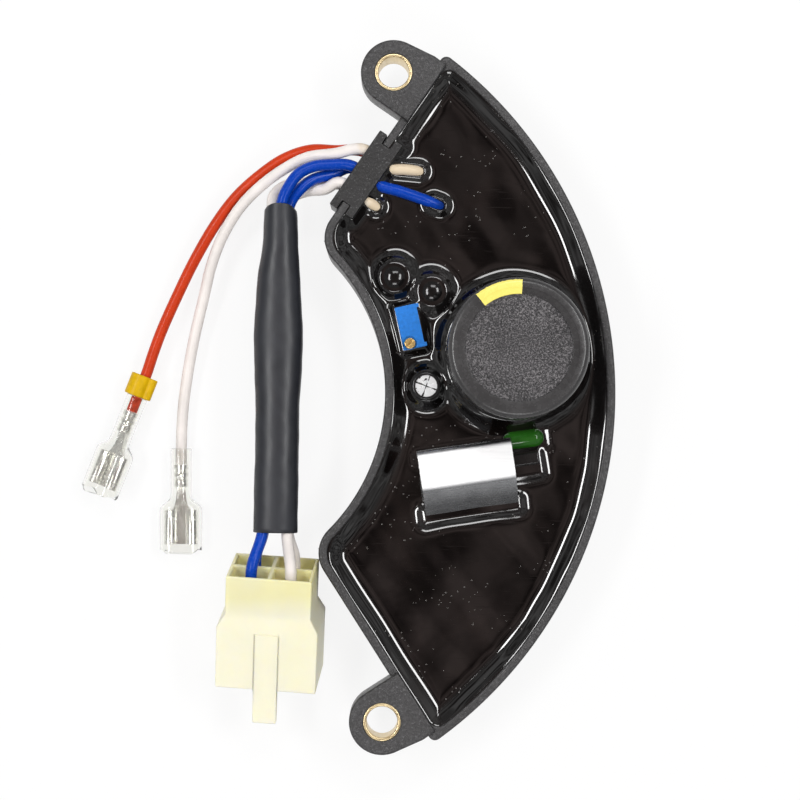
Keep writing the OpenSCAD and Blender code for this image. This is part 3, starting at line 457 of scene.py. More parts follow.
def finish_mesh(bm, name, mat, deg=SHARP):
    soften(bm, deg)
    me = bpy.data.meshes.new(name)
    bm.to_mesh(me)
    bm.free()
    me.materials.append(MATS[mat].m)
    ob = bpy.data.objects.new(name, me)
    scene.collection.objects.link(ob)
    return ob


def build(verts, faces, name, mat, deg=SHARP):
    """An object from points in millimetres."""
    bm = bmesh.new()
    vs = [bm.verts.new((p[0] * MM, p[1] * MM, p[2] * MM)) for p in verts]
    for f in faces:
        bm.faces.new([vs[i] for i in f])
    return finish_mesh(bm, name, mat, deg)


def loft(rings, caps=True, loop=False):
    """Faces over closed rings of equal length. A loop joins the last ring to the first."""
    n, m = len(rings[0]), len(rings)
    verts = [p for r in rings for p in r]
    faces = []
    for i in range(m if loop else m - 1):
        j = (i + 1) % m
        for k in range(n):
            q = (k + 1) % n
            faces.append([i * n + k, j * n + k, j * n + q, i * n + q])
    if caps and not loop:
        faces.append(list(range(n - 1, -1, -1)))
        faces.append([(m - 1) * n + k for k in range(n)])
    return verts, faces


def join(parts):
    verts, faces = [], []
    for v, f in parts:
        o = len(verts)
        verts += list(v)
        faces += [[i + o for i in q] for q in f]
    return verts, faces


def lathe(profile, at, n=96):
    """Solid of revolution; the profile runs from the axis to the axis, or is a closed ring."""
    pole0, pole1 = profile[0][0] < 1e-6, profile[-1][0] < 1e-6
    body = profile[1 if pole0 else 0:len(profile) - 1 if pole1 else None]
    rings = [[(at[0] + r * math.cos(2 * math.pi * k / n), at[1] + r * math.sin(2 * math.pi * k / n), z)
              for k in range(n)] for r, z in body]
    verts, faces = loft(rings, caps=False, loop=not (pole0 or pole1))
    for has, z, ring in ((pole0, profile[0][1], 0), (pole1, profile[-1][1], len(body) - 1)):
        if has:
            c = len(verts)
            verts.append((at[0], at[1], z))
            for k in range(n):
                faces.append([c, ring * n + k, ring * n + (k + 1) % n])
    return verts, faces


def bend(c, r, a0, a1, n):
    """Points on an arc about c, from a0 to a1 degrees."""
    return [(c[0] + r * math.cos(math.radians(a0 + (a1 - a0) * i / n)),
             c[1] + r * math.sin(math.radians(a0 + (a1 - a0) * i / n))) for i in range(n + 1)]


WELD, FLAT, BEVEL_OVER = 2e-6, math.radians(1), math.radians(40)


def bevelled(node, name, mat, width, segs=2, body=BODY):
    """Stands for a CAD node with that node's shape, its edges rounded."""
    bm = bmesh.new()
    bm.from_mesh(NODES[node].data)
    bmesh.ops.remove_doubles(bm, verts=bm.verts, dist=WELD)
    bmesh.ops.dissolve_limit(bm, angle_limit=FLAT, verts=bm.verts, edges=bm.edges)
    edges = [e for e in bm.edges if len(e.link_faces) == 2 and e.calc_face_angle(0.0) > BEVEL_OVER]
    bmesh.ops.bevel(bm, geom=edges, offset=width * MM, offset_type="OFFSET", segments=segs, profile=0.5,
                    affect="EDGES", clamp_overlap=False)
    ob = finish_mesh(bm, name, mat)
    ob.modifiers.new("even_normals", "WEIGHTED_NORMAL").keep_sharp = True
    return keep(ob, node, body)


def cut(ob, cutter):
    """Takes the cutter's shape out of ob."""
    mod = ob.modifiers.new("cut", "BOOLEAN")
    mod.operation, mod.solver, mod.object = "DIFFERENCE", "EXACT", cutter
    bpy.context.view_layer.update()
    me = bpy.data.meshes.new_from_object(ob.evaluated_get(bpy.context.evaluated_depsgraph_get()))
    ob.modifiers.clear()
    old = ob.data
    ob.data = me
    bpy.data.meshes.remove(old)
    bpy.data.objects.remove(cutter)
    bm = bmesh.new()
    bm.from_mesh(ob.data)
    soften(bm)
    bm.to_mesh(ob.data)
    bm.free()


def keep(ob, node, body=BODY):
    """Puts a piece on its body, in place of a node where there is one."""
    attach(ob, body)
    if node:
        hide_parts(node)
    return ob


# Leads

PATH_STEP, SPAN_STEPS = 0.9, 24


def smooth_path(pts):
    """Centripetal curve through the points, at even steps."""
    p = [np.array(q, float) for q in pts]
    p = [2 * p[0] - p[1]] + p + [2 * p[-1] - p[-2]]
    out = []
    for i in range(1, len(p) - 2):
        a, b, c, d = p[i - 1:i + 3]
        t0 = 0.0
        t1 = t0 + math.sqrt(np.linalg.norm(b - a))
        t2 = t1 + math.sqrt(np.linalg.norm(c - b))
        t3 = t2 + math.sqrt(np.linalg.norm(d - c))
        for t in np.linspace(t1, t2, SPAN_STEPS, endpoint=False):
            a1 = (t1 - t) / (t1 - t0) * a + (t - t0) / (t1 - t0) * b
            a2 = (t2 - t) / (t2 - t1) * b + (t - t1) / (t2 - t1) * c
            a3 = (t3 - t) / (t3 - t2) * c + (t - t2) / (t3 - t2) * d
            b1 = (t2 - t) / (t2 - t0) * a1 + (t - t0) / (t2 - t0) * a2
            b2 = (t3 - t) / (t3 - t1) * a2 + (t - t1) / (t3 - t1) * a3
            out.append((t2 - t) / (t2 - t1) * b1 + (t - t1) / (t2 - t1) * b2)
    out.append(p[-2])
    out = np.array(out)
    run = np.concatenate([[0], np.cumsum(np.linalg.norm(np.diff(out, axis=0), axis=1))])
    n = max(8, int(round(run[-1] / PATH_STEP)))
    s = np.linspace(0, run[-1], n + 1)
    return np.stack([np.interp(s, run, out[:, k]) for k in range(3)], axis=1)


CONN_AT = (-24, -37.4, 6.6)
CONN_TILT, CONN_ROLL, CONN_YAW = math.radians(18.5), math.radians(3.5), math.radians(-1.8)


def in_conn(a, b, c):
    """A place in the connector: across it, along it and up."""
    x = a * math.cos(CONN_ROLL) - c * math.sin(CONN_ROLL)
    up = a * math.sin(CONN_ROLL) + c * math.cos(CONN_ROLL)
    y = -b * math.cos(CONN_TILT) - up * math.sin(CONN_TILT)
    z = -b * math.sin(CONN_TILT) + up * math.cos(CONN_TILT)
    return (CONN_AT[0] + x * math.cos(CONN_YAW) - y * math.sin(CONN_YAW),
            CONN_AT[1] + x * math.sin(CONN_YAW) + y * math.cos(CONN_YAW), CONN_AT[2] + z)


RED_BOOT, RED_YAW, RED_ROLL = (-55.6, -0.9), math.radians(-20.5), math.radians(30)
RED_Z = BOOT_LIFT + 1.6
WHITE_BOOT, WHITE_YAW = (-45.8, -12.2), math.radians(1)
CRIMP, TAG_L = 3.4, 4.8


def along_boot(at, yaw, b, z):
    """A place b along a terminal's sleeve."""
    return (at[0] + b * math.sin(yaw), at[1] - b * math.cos(yaw), z)


ROUTES = {
    "red_lead": [
        on_end(CLIP_X + PITCH, CLIP_IN - 3, ROW_LOW), on_end(CLIP_X + PITCH, CLIP_OUT + 1, ROW_LOW),
        (-12.4, 53.7, 1.6), (-18, 53.8, 1.1), (-23.6, 52, 0.2), (-29, 48.4, -0.8), (-34.4, 43.5, -2),
        (-39, 37.3, -3), (-43.4, 29.6, -4), (-47, 22, -4.6), (-50.4, 14.1, -5), (-52.2, 9, -5.1),
        along_boot(RED_BOOT, RED_YAW, -TAG_L - 0.6, RED_Z), along_boot(RED_BOOT, RED_YAW, CRIMP, RED_Z)],
    "white_lead": [
        (7.4, 48.8, 2.6), (5.6, 49.1, 4.3), (2.6, 49.3, 5), on_end(CLIP_X + PITCH, CLIP_IN - 0.6, ROW_UP),
        on_end(CLIP_X + PITCH, CLIP_OUT + 1, ROW_UP), (-12.4, 52.6, 4.5), (-18.5, 51.8, 3.4),
        (-23.4, 49.4, 2.6), (-28.4, 45.8, 1.7), (-33.2, 41.1, -0.2), (-37.1, 34.9, -1.9), (-39.6, 28.5, -3.4),
        (-41.2, 21.8, -4.8), (-43.4, 12, -6), (-45, 2, -6.6), (-45.7, -6, -6.8),
        along_boot(WHITE_BOOT, WHITE_YAW, CRIMP, BOOT_LIFT)],
    "blue_lead_outer": [
        (12.3, 41, 2.6), (10.6, 41.6, 4.1), (7.4, 42.7, 5.2), (1.8, 44.5, 5.4),
        on_end(CLIP_X, CLIP_IN - 0.6, ROW_UP), on_end(CLIP_X, CLIP_OUT + 1, ROW_UP), (-13.2, 50, 5.6),
        (-16.8, 49.5, 6.2), (-20.2, 47.7, 6.8),
        (-22.7, 44, 7.1), (-23.7, 41, 7), (-25.9, 20, 6.5), (-26.6, 0, 6.3), (-26.4, -18, 5.6), (-26.4, -30, 5),
        in_conn(-4.2, -1.2, -3.2), in_conn(-4.2, 3.5, -3.4)],
    "blue_lead_inner": [
        on_end(CLIP_X, CLIP_IN - 3, ROW_LOW), on_end(CLIP_X, CLIP_OUT + 1, ROW_LOW), (-12.8, 48.4, 2.6),
        (-17, 47, 4), (-19.9, 44.6, 4.7), (-22.2, 40.8, 4.7), (-22.4, 20, 6.9), (-24.5, 0, 8),
        (-25.7, -18, 8.1), (-26.4, -30, 7.6), in_conn(-4.2, -0.8, 3.2), in_conn(-4.2, 3.5, 3.4)],
    "connector_white_lead_upper": [
        (-2.2, 40.5, 2.9), (-3.7, 41.4, 4.3), on_end(CLIP_X - PITCH, CLIP_IN - 0.4, ROW_UP),
        on_end(CLIP_X - PITCH, CLIP_OUT + 1, ROW_UP), (-14.6, 44.9, 3.4), (-18.3, 44.7, 1.7),
        (-21.9, 43.2, 1.6), (-23.7, 40.2, 2.5), (-21.8, 20, 4.1), (-21, 0, 5.9), (-20.9, -18, 7.3),
        (-21.1, -30, 7.6),
        in_conn(4.2, -0.8, 3.2), in_conn(4.2, 3.5, 3.4)],
    "connector_white_lead_lower": [
        on_end(CLIP_X - PITCH, CLIP_IN - 1, ROW_LOW), on_end(CLIP_X - PITCH, CLIP_OUT + 1, ROW_LOW),
        (-14.6, 46.1, 1), (-18.8, 46.7, -0.2), (-23.3, 45.9, 0.6), (-25.7, 43.4, 2.7), (-25.9, 40.4, 4.1),
        (-25.3, 20, 3.6), (-23.9, 0, 4.2), (-21.9, -18, 4.8), (-21.1, -30, 5), in_conn(4.2, -1.2, -3.2),
        in_conn(4.2, 3.5, -3.4)],
}
PATHS = {k: smooth_path(v) for k, v in ROUTES.items()}
leads = {}
for key, path in PATHS.items():
    cu = bpy.data.curves.new(key + "_cord", "CURVE")
    cu.dimensions = "3D"
    cu.bevel_depth = LEAD_R * MM
    cu.bevel_resolution = 5
    cu.use_fill_caps = True
    sp = cu.splines.new("POLY")
    sp.points.add(len(path) - 1)
    for pt, q in zip(sp.points, path):
        pt.co = (*(q * MM), 1)
    sp.use_smooth = True
    colour = next(c for c in ("red", "white", "blue") if c in key)
    cu.materials.append(MATS[colour].m)
    ob = bpy.data.objects.new(key + "_cord", cu)
    scene.collection.objects.link(ob)
    leads[key] = keep(ob, key)


# Sleeve round the connector leads

# Its sections: y, then the middle's x and z, then half its width and height
WRAP = np.array([
    [41.2, -24, 4.7, 3.6, 4.2], [32, -23.9, 5, 4, 3.9], [25, -24.1, 5.2, 4.7, 3.85], [18, -24, 5.5, 5.15, 3.8],
    [11.5, -23.9, 5.8, 5.4, 3.75], [5, -23.8, 6, 5.2, 3.75], [-1, -23.8, 6.2, 4.9, 3.75],
    [-11, -23.7, 6.4, 4.8, 3.75], [-20, -23.7, 6.5, 4.85, 3.75], [-30, -23.7, 6.3, 4.85, 3.75]])
WRAP_FROM, WRAP_TO, WRAP_RINGS, WRAP_POINTS = 41.0, -29.8, 90, 48
WRAP_WALL, WRAP_INSIDE, WRAP_POWER, MOUTH_RUN = 0.4, 0.07, 0.93, 5


def wrap_at(y):
    """Middle and half sizes of the sleeve at a place along it, on a smooth line through its sections."""
    ys = WRAP[::-1, 0]
    out = []
    for c in range(1, 5):
        vals = WRAP[::-1, c]
        i = int(np.clip(np.searchsorted(ys, y) - 1, 0, len(ys) - 2))
        t = (y - ys[i]) / (ys[i + 1] - ys[i])
        slope = np.gradient(vals, ys)
        w = ys[i + 1] - ys[i]
        h00, h10 = 2 * t ** 3 - 3 * t ** 2 + 1, t ** 3 - 2 * t ** 2 + t
        h01, h11 = -2 * t ** 3 + 3 * t ** 2, t ** 3 - t ** 2
        out.append(h00 * vals[i] + h10 * w * slope[i] + h01 * vals[i + 1] + h11 * w * slope[i + 1])
    return out


def soft(v):
    return math.copysign(abs(v) ** WRAP_POWER, v)


def wrap_ring(y, inset, lip=0.0):
    """One ring of the sleeve; lip draws out its back and bows its front near the mouth."""
    x, z, a, b = wrap_at(min(y, WRAP[0, 0]))
    pts = []
    for k in range(WRAP_POINTS):
        th = 2 * math.pi * k / WRAP_POINTS
        c, s = math.cos(th), math.sin(th)
        wave = 0.03 * math.sin(0.55 * y + 2 * th) + 0.02 * math.sin(1.3 * y - 3 * th + 1)
        grow = (wave if inset == 0 else 0.0) - inset - WRAP_INSIDE
        dy = 1.7 * max(0.0, -s) * max(0.0, 0.55 - 0.45 * c) - 1.3 * abs(c) ** 3
        pts.append((x + (a + grow) * soft(c), y + lip * dy, z + (b + grow) * soft(s)))
    return pts


ys = np.linspace(WRAP_FROM, WRAP_TO, WRAP_RINGS)
tips = [max(0.0, 1 - (WRAP_FROM - y) / MOUTH_RUN) ** 2 for y in ys]
outer = [wrap_ring(y, 0.0, t) for y, t in zip(ys, tips)]
inner = [wrap_ring(y, WRAP_WALL, t) for y, t in zip(ys, tips)]
low_lip = [wrap_ring(ys[-1] - 0.15, WRAP_WALL / 2)]
top_lip = [wrap_ring(ys[0] + 0.12, WRAP_WALL / 2, tips[0])]
sleeve = loft(outer + low_lip + inner[::-1] + top_lip, loop=True)
wrap = keep(build(*sleeve, "lead_wrap", "lead_wrap", 60), "lead_sleeve")


# Housing

def outline(inset, fi, fo):
    """Plan of the crescent moved in by inset, with corners of fi and fo, as a fixed number of points."""
    e, ri, ro = END_OFF + inset, INNER_R + inset, OUTER_R - TRAY_INSIDE - inset
    f = np.array([math.sqrt((ri + fi) ** 2 - (e + fi) ** 2), -e - fi])
    g = np.array([math.sqrt((ro - fo) ** 2 - (e + fo) ** 2), -e - fo])
    pf, pg = math.atan2(f[1], f[0]), math.atan2(g[1], g[0])
    half = [(ri * math.cos(a), ri * math.sin(a)) for a in np.linspace(0, END_A + pf, 46)[:-1]]
    local = [f + fi * np.array([math.cos(a), math.sin(a)])
             for a in np.linspace(math.pi + pf, math.pi / 2, 13)[:-1]]
    local += [np.array([x, -e]) for x in np.linspace(f[0], g[0], 25)[:-1]]
    local += [g + fo * np.array([math.cos(a), math.sin(a)])
              for a in np.linspace(math.pi / 2, pg, 10)[:-1]]
    c, s = math.cos(END_A), math.sin(END_A)
    half += [(p[0] * c - p[1] * s, p[0] * s + p[1] * c) for p in local]
    half += [(ro * math.cos(a), ro * math.sin(a)) for a in np.linspace(END_A + pg, 0, 101)]
    low = [(x, -y) for x, y in half[-2:0:-1]]
    return [(ARC_X + x, y) for x, y in half + low]


EDGE_R, LIP_R, EAR_EDGE_R = 0.5, 0.4, 0.55
ROUND_UP = (0, 22, 45, 67, 90)


def tray():
    """Crescent tray, with its outer edges and the lip of its pocket rounded."""
    rings = []

    def add(z, t, pocket=False):
        if pocket:
            plan = outline(WALL - t, POCKET_INNER + t, POCKET_OUTER + t)
        else:
            plan = outline(t, INNER_CORNER - t, OUTER_CORNER - t)
        rings.append([(x, y, z) for x, y in plan])

    for a in (90, 60, 30, 0):
        add(BACK_Z + EDGE_R * (1 - math.sin(math.radians(a))), EDGE_R * (1 - math.cos(math.radians(a))))
    for a in ROUND_UP:
        add(RIM_Z - EDGE_R + EDGE_R * math.sin(math.radians(a)), EDGE_R * (1 - math.cos(math.radians(a))))
    for a in ROUND_UP[::-1]:
        add(RIM_Z - LIP_R + LIP_R * math.sin(math.radians(a)), LIP_R * (1 - math.cos(math.radians(a))), True)
    add(FLOOR_Z, 0.0, True)
    return loft(rings)


def ear(side):
    """Ear round a bush; side is 1 for the upper one and -1 for the lower."""
    bx = BUSH_X
    by = ARC_X * math.sin(END_A) + BOLT_Y * math.cos(END_A)
    low = -END_OFF - WALL + 0.03

    def plan(t, z):
        r, lim = EAR_R - EAR_INSIDE - t, OUTER_R - WALL - 0.05 - t
        pts = [(bx - r, y) for y in np.linspace(low + t, by, 12)[:-1]]
        pts += [(bx + r * math.cos(a), by + r * math.sin(a)) for a in np.linspace(math.pi, EAR_FLARE, 49)]
        rx, ry = pts[-1]
        for y in np.linspace(ry, low + t, 16)[1:]:
            x = rx + (ry - y) * math.tan(EAR_FLARE)
            pts.append((min(x, math.sqrt(lim ** 2 - y ** 2)), y))
        out = []
        for x, y in pts:
            p = on_end(x, y, z)
            out.append((p[0], side * p[1], p[2]))
        return out

    rings = [plan(0.4, 0.0), plan(0.12, 0.12), plan(0.0, 0.4)]
    for a in ROUND_UP:
        rings.append(plan(EAR_EDGE_R * (1 - math.cos(math.radians(a))),
                          EAR_T - EAR_EDGE_R + EAR_EDGE_R * math.sin(math.radians(a))))
    return loft(rings)


def rod(at, r, z0, z1):
    return lathe([(0, z0), (r, z0), (r, z1), (0, z1)], at)


def gate():
    """Trace of the moulding gate on the convex wall."""
    a = math.radians(33.5)
    d, t = (math.cos(a), math.sin(a)), (-math.sin(a), math.cos(a))
    rings = []
    for u, r in ((-0.6, 0.9), (0.15, 0.9), (0.26, 0.8), (0.28, 0.6)):
        rings.append([(ARC_X + (OUTER_R + u) * d[0] + r * math.cos(q) * t[0],
                       (OUTER_R + u) * d[1] + r * math.cos(q) * t[1], RIM_Z - 5 + r * math.sin(q))
                      for q in np.linspace(0, 2 * math.pi, 25)[:-1]])
    return loft(rings)


tray_ob = build(*tray(), "housing_tray", "black_moulding")
notch_gap = 0.1
clip_foot = ROW_LOW - LEAD_R - 0.8 - CLIP_T
notch_w, notch_z = CLIP_L - 2 * CLIP_T + 2 * notch_gap, clip_foot + CLIP_T - notch_gap
corners = [on_end(CLIP_X + sx * notch_w / 2, CLIP_Y + sy * 2 * WALL, 0)
           for sx, sy in ((-1, -1), (1, -1), (1, 1), (-1, 1))]
notch = loft([[(x, y, z) for x, y, _ in corners] for z in (notch_z, RIM_Z + 6)])
cut(tray_ob, build(*notch, "notch_cutter", "black_moulding"))
keep(tray_ob, "housing")
for side, word in ((1, "upper"), (-1, "lower")):
    ob = build(*ear(side), "housing_ear_" + word, "black_moulding")
    bush = rod((0, side * BOLT_Y), BUSH_R + 0.02, -3, EAR_T + 3)
    cut(ob, build(*bush, "bush_cutter", "black_moulding"))
    keep(ob, None)
    turned, face = 0.25, EAR_T - 0.2
    prof = bend((BUSH_R - turned, turned), turned, -90, 0, 3) + bend((BUSH_R - turned, face), turned, 0, 90, 3)
    prof += bend((BORE_R + turned, face), turned, 90, 180, 3)
    prof += bend((BORE_R + turned, turned), turned, 180, 270, 3)
    turned_bush = lathe(prof, (0, side * BOLT_Y))
    keep(build(*turned_bush, word + "_bush_turned", "brass"), word + "_bush")
keep(build(*gate(), "moulding_gate", "black_moulding"), None)

bevelled("wire_clip", "wire_clip_moulded", "clip_black", 0.28, 3)


# Resin

def box_dist(p, at, turn, l, w):
    """Distance of each point from a turned box, less than 0 inside it."""
    c, s = math.cos(-turn), math.sin(-turn)
    q = p - np.array(at)
    x, y = q[:, 0] * c - q[:, 1] * s, q[:, 0] * s + q[:, 1] * c
    dx, dy = np.abs(x) - l / 2, np.abs(y) - w / 2
    return np.hypot(np.maximum(dx, 0), np.maximum(dy, 0)) + np.minimum(np.maximum(dx, dy), 0)


def line_dist(p, pts):
    """Distance of each point from a line through pts."""
    best = np.full(len(p), 1e9)
    for a, b in zip(pts[:-1], pts[1:]):
        a, b = np.array(a[:2]), np.array(b[:2])
        t = np.clip(((p - a) @ (b - a)) / max(1e-9, (b - a) @ (b - a)), 0, 1)
        best = np.minimum(best, np.linalg.norm(p - a - t[:, None] * (b - a), axis=1))
    return best


def corner_dist(d, e, r):
    """Distance from two walls, d and e away, that meet in a corner of radius r."""
    rounded = r - np.hypot(r - np.minimum(d, r), r - np.minimum(e, r))
    return np.where((d < r) & (e < r), rounded, np.minimum(d, e))


def resin_height(p):
    """Height of the poured surface: level in the open, drawn up at each wall and piece."""
    rise = np.zeros(len(p))
    x, y = p[:, 0], p[:, 1]
    uneven = (0.12 * np.sin(0.25 * x + 0.11 * y) + 0.1 * np.sin(0.13 * x - 0.31 * y + 2)
              + 0.03 * np.sin(0.6 * x + 0.5 * y + 1))

    def draw(d, size, length):
        """Square of the rise at d from a piece: size at its face, fading over about twice length."""
        d = np.maximum(d + uneven * np.clip(d, 0, 1), 0)
        h = size * (0.75 * np.exp(-(d / length) ** 2) + 0.25 * np.exp(-2 * d / length))
        return h * h

    q = p - np.array([ARC_X, 0])
    r = np.hypot(q[:, 0], q[:, 1])
    c, s = math.cos(END_A), math.sin(END_A)
    up = -(-q[:, 0] * s + q[:, 1] * c) - END_OFF - WALL
    low = -(-q[:, 0] * s - q[:, 1] * c) - END_OFF - WALL
    inner, outer = r - INNER_R - WALL, OUTER_R - WALL - r
    ends = np.minimum(up, low)
    wall = np.minimum(corner_dist(inner, ends, POCKET_INNER), corner_dist(outer, ends, POCKET_OUTER))
    rise += draw(wall, 2.0, 2.3)
    for at, rad, size in ((CAP_AT, CAP_R, 2.6), (DIP_UP_AT, SMALL_R, 2.1), (DIP_LOW_AT, SMALL_R, 2.1),
                          (BARE_AT, SMALL_R, 2.2)):
        rise += draw(np.hypot(x - at[0], y - at[1]) - rad, size, 0.5 + 0.6 * size)
    # Trimmer, film capacitor, transistor, the sink's two feet and the clip
    for at, turn, l, w, size, length in (
            (TRIM_AT, TRIM_TURN, TRIM_W, TRIM_L, 1.5, 1.4), (FILM_AT, FILM_TURN, FILM_L, 3.6, 0.35, 1.4),
            (sink_place(SINK_L / 2 + 0.7, -1.35), SINK_TURN, 10.2, 4.7, 0.75, 1.5),
            (sink_place(-2.35, 3.2), SINK_TURN, 15.6, 1.6, 0.25, 1.2),
            (sink_place(0, -9.6), SINK_TURN, SINK_L, 2.0, 0.95, 1.5),
            (on_end(CLIP_X, CLIP_Y, 0)[:2], END_A, CLIP_L, CLIP_W, 1.5, 1.5)):
        rise += draw(box_dist(p, at, turn, l, w), size, length)
    # Where the leads dive in
    for dive, size in (([(5.9, 49.05), (0.5, 49.5)], 0.8), ([(10.6, 41.62), (9.3, 42.07)], 1.1),
                       ([(-3.3, 41.15), (-5.5, 42.4)], 0.8)):
        d = line_dist(p, dive) - 1.15
        ring = np.where(d > 0, size * np.exp(-(d / 1.1) ** 2), np.maximum(0, size + 1.6 * d))
        rise += ring ** 2
    swell = (0.05 * np.sin(0.21 * x + 0.13 * y + 1.0) + 0.04 * np.sin(0.17 * y - 0.31 * x)
             + 0.03 * np.sin(0.43 * x + 0.37 * y + 2))
    return RESIN_Z + np.sqrt(rise) + swell


def resin():
    """The pour: a grid of heights a little way into the walls, with sides and a floor."""
    over = 0.35
    nr, na = 150, 560
    us = np.linspace(0, 1, nr)
    us = us + 0.055 * np.sin(4 * math.pi * us) / (2 * math.pi) * -1.6
    ua = np.linspace(-1, 1, na)
    top = []
    for u in us:
        r = INNER_R + WALL - over + u * (OUTER_R - INNER_R - 2 * WALL + 2 * over)
        lim = END_A - math.asin((END_OFF + WALL - over) / r)
        top += [(ARC_X + r * math.cos(a * lim), r * math.sin(a * lim)) for a in ua]
    p = np.array(top)
    z = resin_height(p)
    verts = [(x, y, h) for (x, y), h in zip(p, z)]
    faces = [[i * na + k, (i + 1) * na + k, (i + 1) * na + k + 1, i * na + k + 1]
             for i in range(nr - 1) for k in range(na - 1)]
    rim = list(range(na)) + [i * na + na - 1 for i in range(1, nr)]
    rim += [(nr - 1) * na + k for k in range(na - 2, -1, -1)] + [i * na for i in range(nr - 2, 0, -1)]
    o = len(verts)
    verts += [(verts[i][0], verts[i][1], FLOOR_Z + 0.05) for i in rim]
    n = len(rim)
    faces += [[rim[k], rim[(k + 1) % n], o + (k + 1) % n, o + k] for k in range(n)]
    faces.append([o + k for k in range(n)])
    return verts, faces


keep(build(*resin(), "poured_resin", "resin", 55), "potting_resin")


# Large capacitor

def capacitor():
    """Sleeve turned in over the top, and the board disc under its edge."""
    r, top = CAP_R, BOARD_TOP + CAP_H
    prof = [(r - 0.4, BOARD_TOP), (r, BOARD_TOP)] + bend((r - 1.4, top - 1.45), 1.4, 0, 80, 10)
    prof += [(r - 2.2, top - 0.02), (12.6, top - 0.1), (11.9, top - 0.16), (11.35, top - 0.14)]
    prof += bend((11.25, top - 0.27), 0.14, 60, 200, 4)
    prof += [(11.1, top - 0.41), (12.7, top - 0.41), (12.8, top - 1.0), (13.2, top - 1.1), (r - 0.4, top - 2.2)]
    keep(build(*lathe(prof, CAP_AT, 128), "capacitor_wrap", "cap_sleeve", 40),
         "capacitor_sleeve")
    prof = [(0, top - 1.0), (12.75, top - 1.0), (12.75, top - 0.45), (11.0, top - 0.42), (8, top - 0.5),
            (4, top - 0.58), (0, top - 0.6)]
    keep(build(*lathe(prof, CAP_AT), "capacitor_disc", "top_board", 40), "capacitor_top_disc")


capacitor()


# Small capacitors

def dipped(at, node, name, phase):
    """Dome under a coat of resin, a little uneven above the pour."""
    r, top = SMALL_R, BOARD_TOP + DIPPED_H
    prof = [(0, BOARD_TOP), (r, BOARD_TOP), (r, top - 2.2)]
    prof += [(r - 0.03, top - 1.9), (r - 0.16, top - 1.45), (r - 0.45, top - 1.0), (r - 0.9, top - 0.6),
             (r - 1.5, top - 0.28), (r - 2.2, top - 0.08), (0.4, top), (0, top)]
    vs, fs = lathe(prof, at, 64)
    out = []
    for x, y, z in vs:
        k = max(0.0, (z - RESIN_Z) / 6.6)
        th = math.atan2(y - at[1], x - at[0])
        g = 1 + k * 0.03 * math.sin(3 * th + phase) - 0.02 * k
        out.append((at[0] + (x - at[0]) * g, at[1] + (y - at[1]) * g,
                    z - 0.08 * k * (1 + math.sin(2 * th + phase)) * 0.5))
    keep(build(out, fs, name, "dipped", 60), node)


dipped(DIP_UP_AT, "dipped_capacitor_upper", "dipped_dome_upper", 0.4)
dipped(DIP_LOW_AT, "dipped_capacitor_lower", "dipped_dome_lower", 2.1)


def bare():
    """Small capacitor whose aluminium top is clear of the resin."""
    r, top = SMALL_R, BOARD_TOP + BARE_H
    prof = [(r - 0.25, BOARD_TOP), (r, BOARD_TOP)] + bend((r - 0.5, top - 0.5), 0.5, 0, 90, 6)
    prof += [(r - 0.75, top - 0.02), (r - 0.8, top - 0.12), (r - 0.8, top - 0.28), (r - 0.3, top - 0.31),
             (r - 0.25, top - 0.5)]
    keep(build(*lathe(prof, BARE_AT, 72), "bare_capacitor_wrap", "small_sleeve", 40),
         "bare_capacitor_sleeve")
    bevelled("bare_capacitor_can", "bare_capacitor_top", "can_top", 0.06)


bare()


# Trimmer

bevelled("trimmer_body", "trimmer_case", "trimmer_blue", 0.16)
bevelled("trimmer_screw", "trimmer_adjuster", "screw_brass", 0.08, body="adjuster")


# Heat sink, transistor and film capacitor

sink = bevelled("heat_sink", "heat_sink_plate", "sheet_aluminium", 0.14)
sink_top = max(v.co.z for v in sink.data.vertices)
# It leans in the photograph
for v in sink.data.vertices:
    lean = SINK_LEAN * MM * max(0.0, (v.co.z - RESIN_Z * MM) / (sink_top - RESIN_Z * MM))
    v.co.x -= lean * math.sin(SINK_TURN)
    v.co.y += lean * math.cos(SINK_TURN)
bevelled("power_transistor", "power_transistor_coated", "black_epoxy", 0.42, 3)


def stadium(w, t, n):
    """Flat oval of width w and thickness t, with n points on each round end."""
    r = t / 2
    a = np.linspace(-math.pi / 2, math.pi / 2, n)
    right = [((w - t) / 2 + r * math.cos(q), r * math.sin(q)) for q in a]
    return right + [(-x, -y) for x, y in right]


def film():
    """Dipped capacitor: a flat oval with a rounded, slightly wavy top."""
    top, c, s = RESIN_Z + FILM_RISE, math.cos(FILM_TURN), math.sin(FILM_TURN)
    edge = 1.9
    rings = []

    def add(z, inset):
        rings.append([(FILM_AT[0] + x * c - y * s, FILM_AT[1] + x * s + y * c,
                       z + 0.10 * math.sin(0.9 * x) - 0.02 * x * x * max(0.0, z - top + 2) / 2)
                      for x, y in stadium(FILM_L - 2 * inset, FILM_T - 2 * inset, 18)])

    add(BOARD_TOP, 0.0)
    for a in (0, 15, 30, 45, 60, 75, 86):
        q = math.radians(a)
        add(top - 0.15 - edge * (1 - math.sin(q)), edge * (1 - math.cos(q)))
    return loft(rings)


keep(build(*film(), "film_capacitor_dipped", "green_coat", 60), "film_capacitor")


# Connector and terminals

conn = bevelled("connector_housing", "connector_shell", "ivory_nylon", 0.3, 3)


def boot_place(at, yaw, roll, z):
    """Frame of a terminal and its sleeve, which run along its z."""
    return (Matrix.Translation(Vector((at[0], at[1], z))) @ Matrix.Rotation(yaw, 4, "Z")
            @ Matrix.Rotation(math.pi / 2, 4, "X") @ Matrix.Rotation(roll, 4, "Z"))


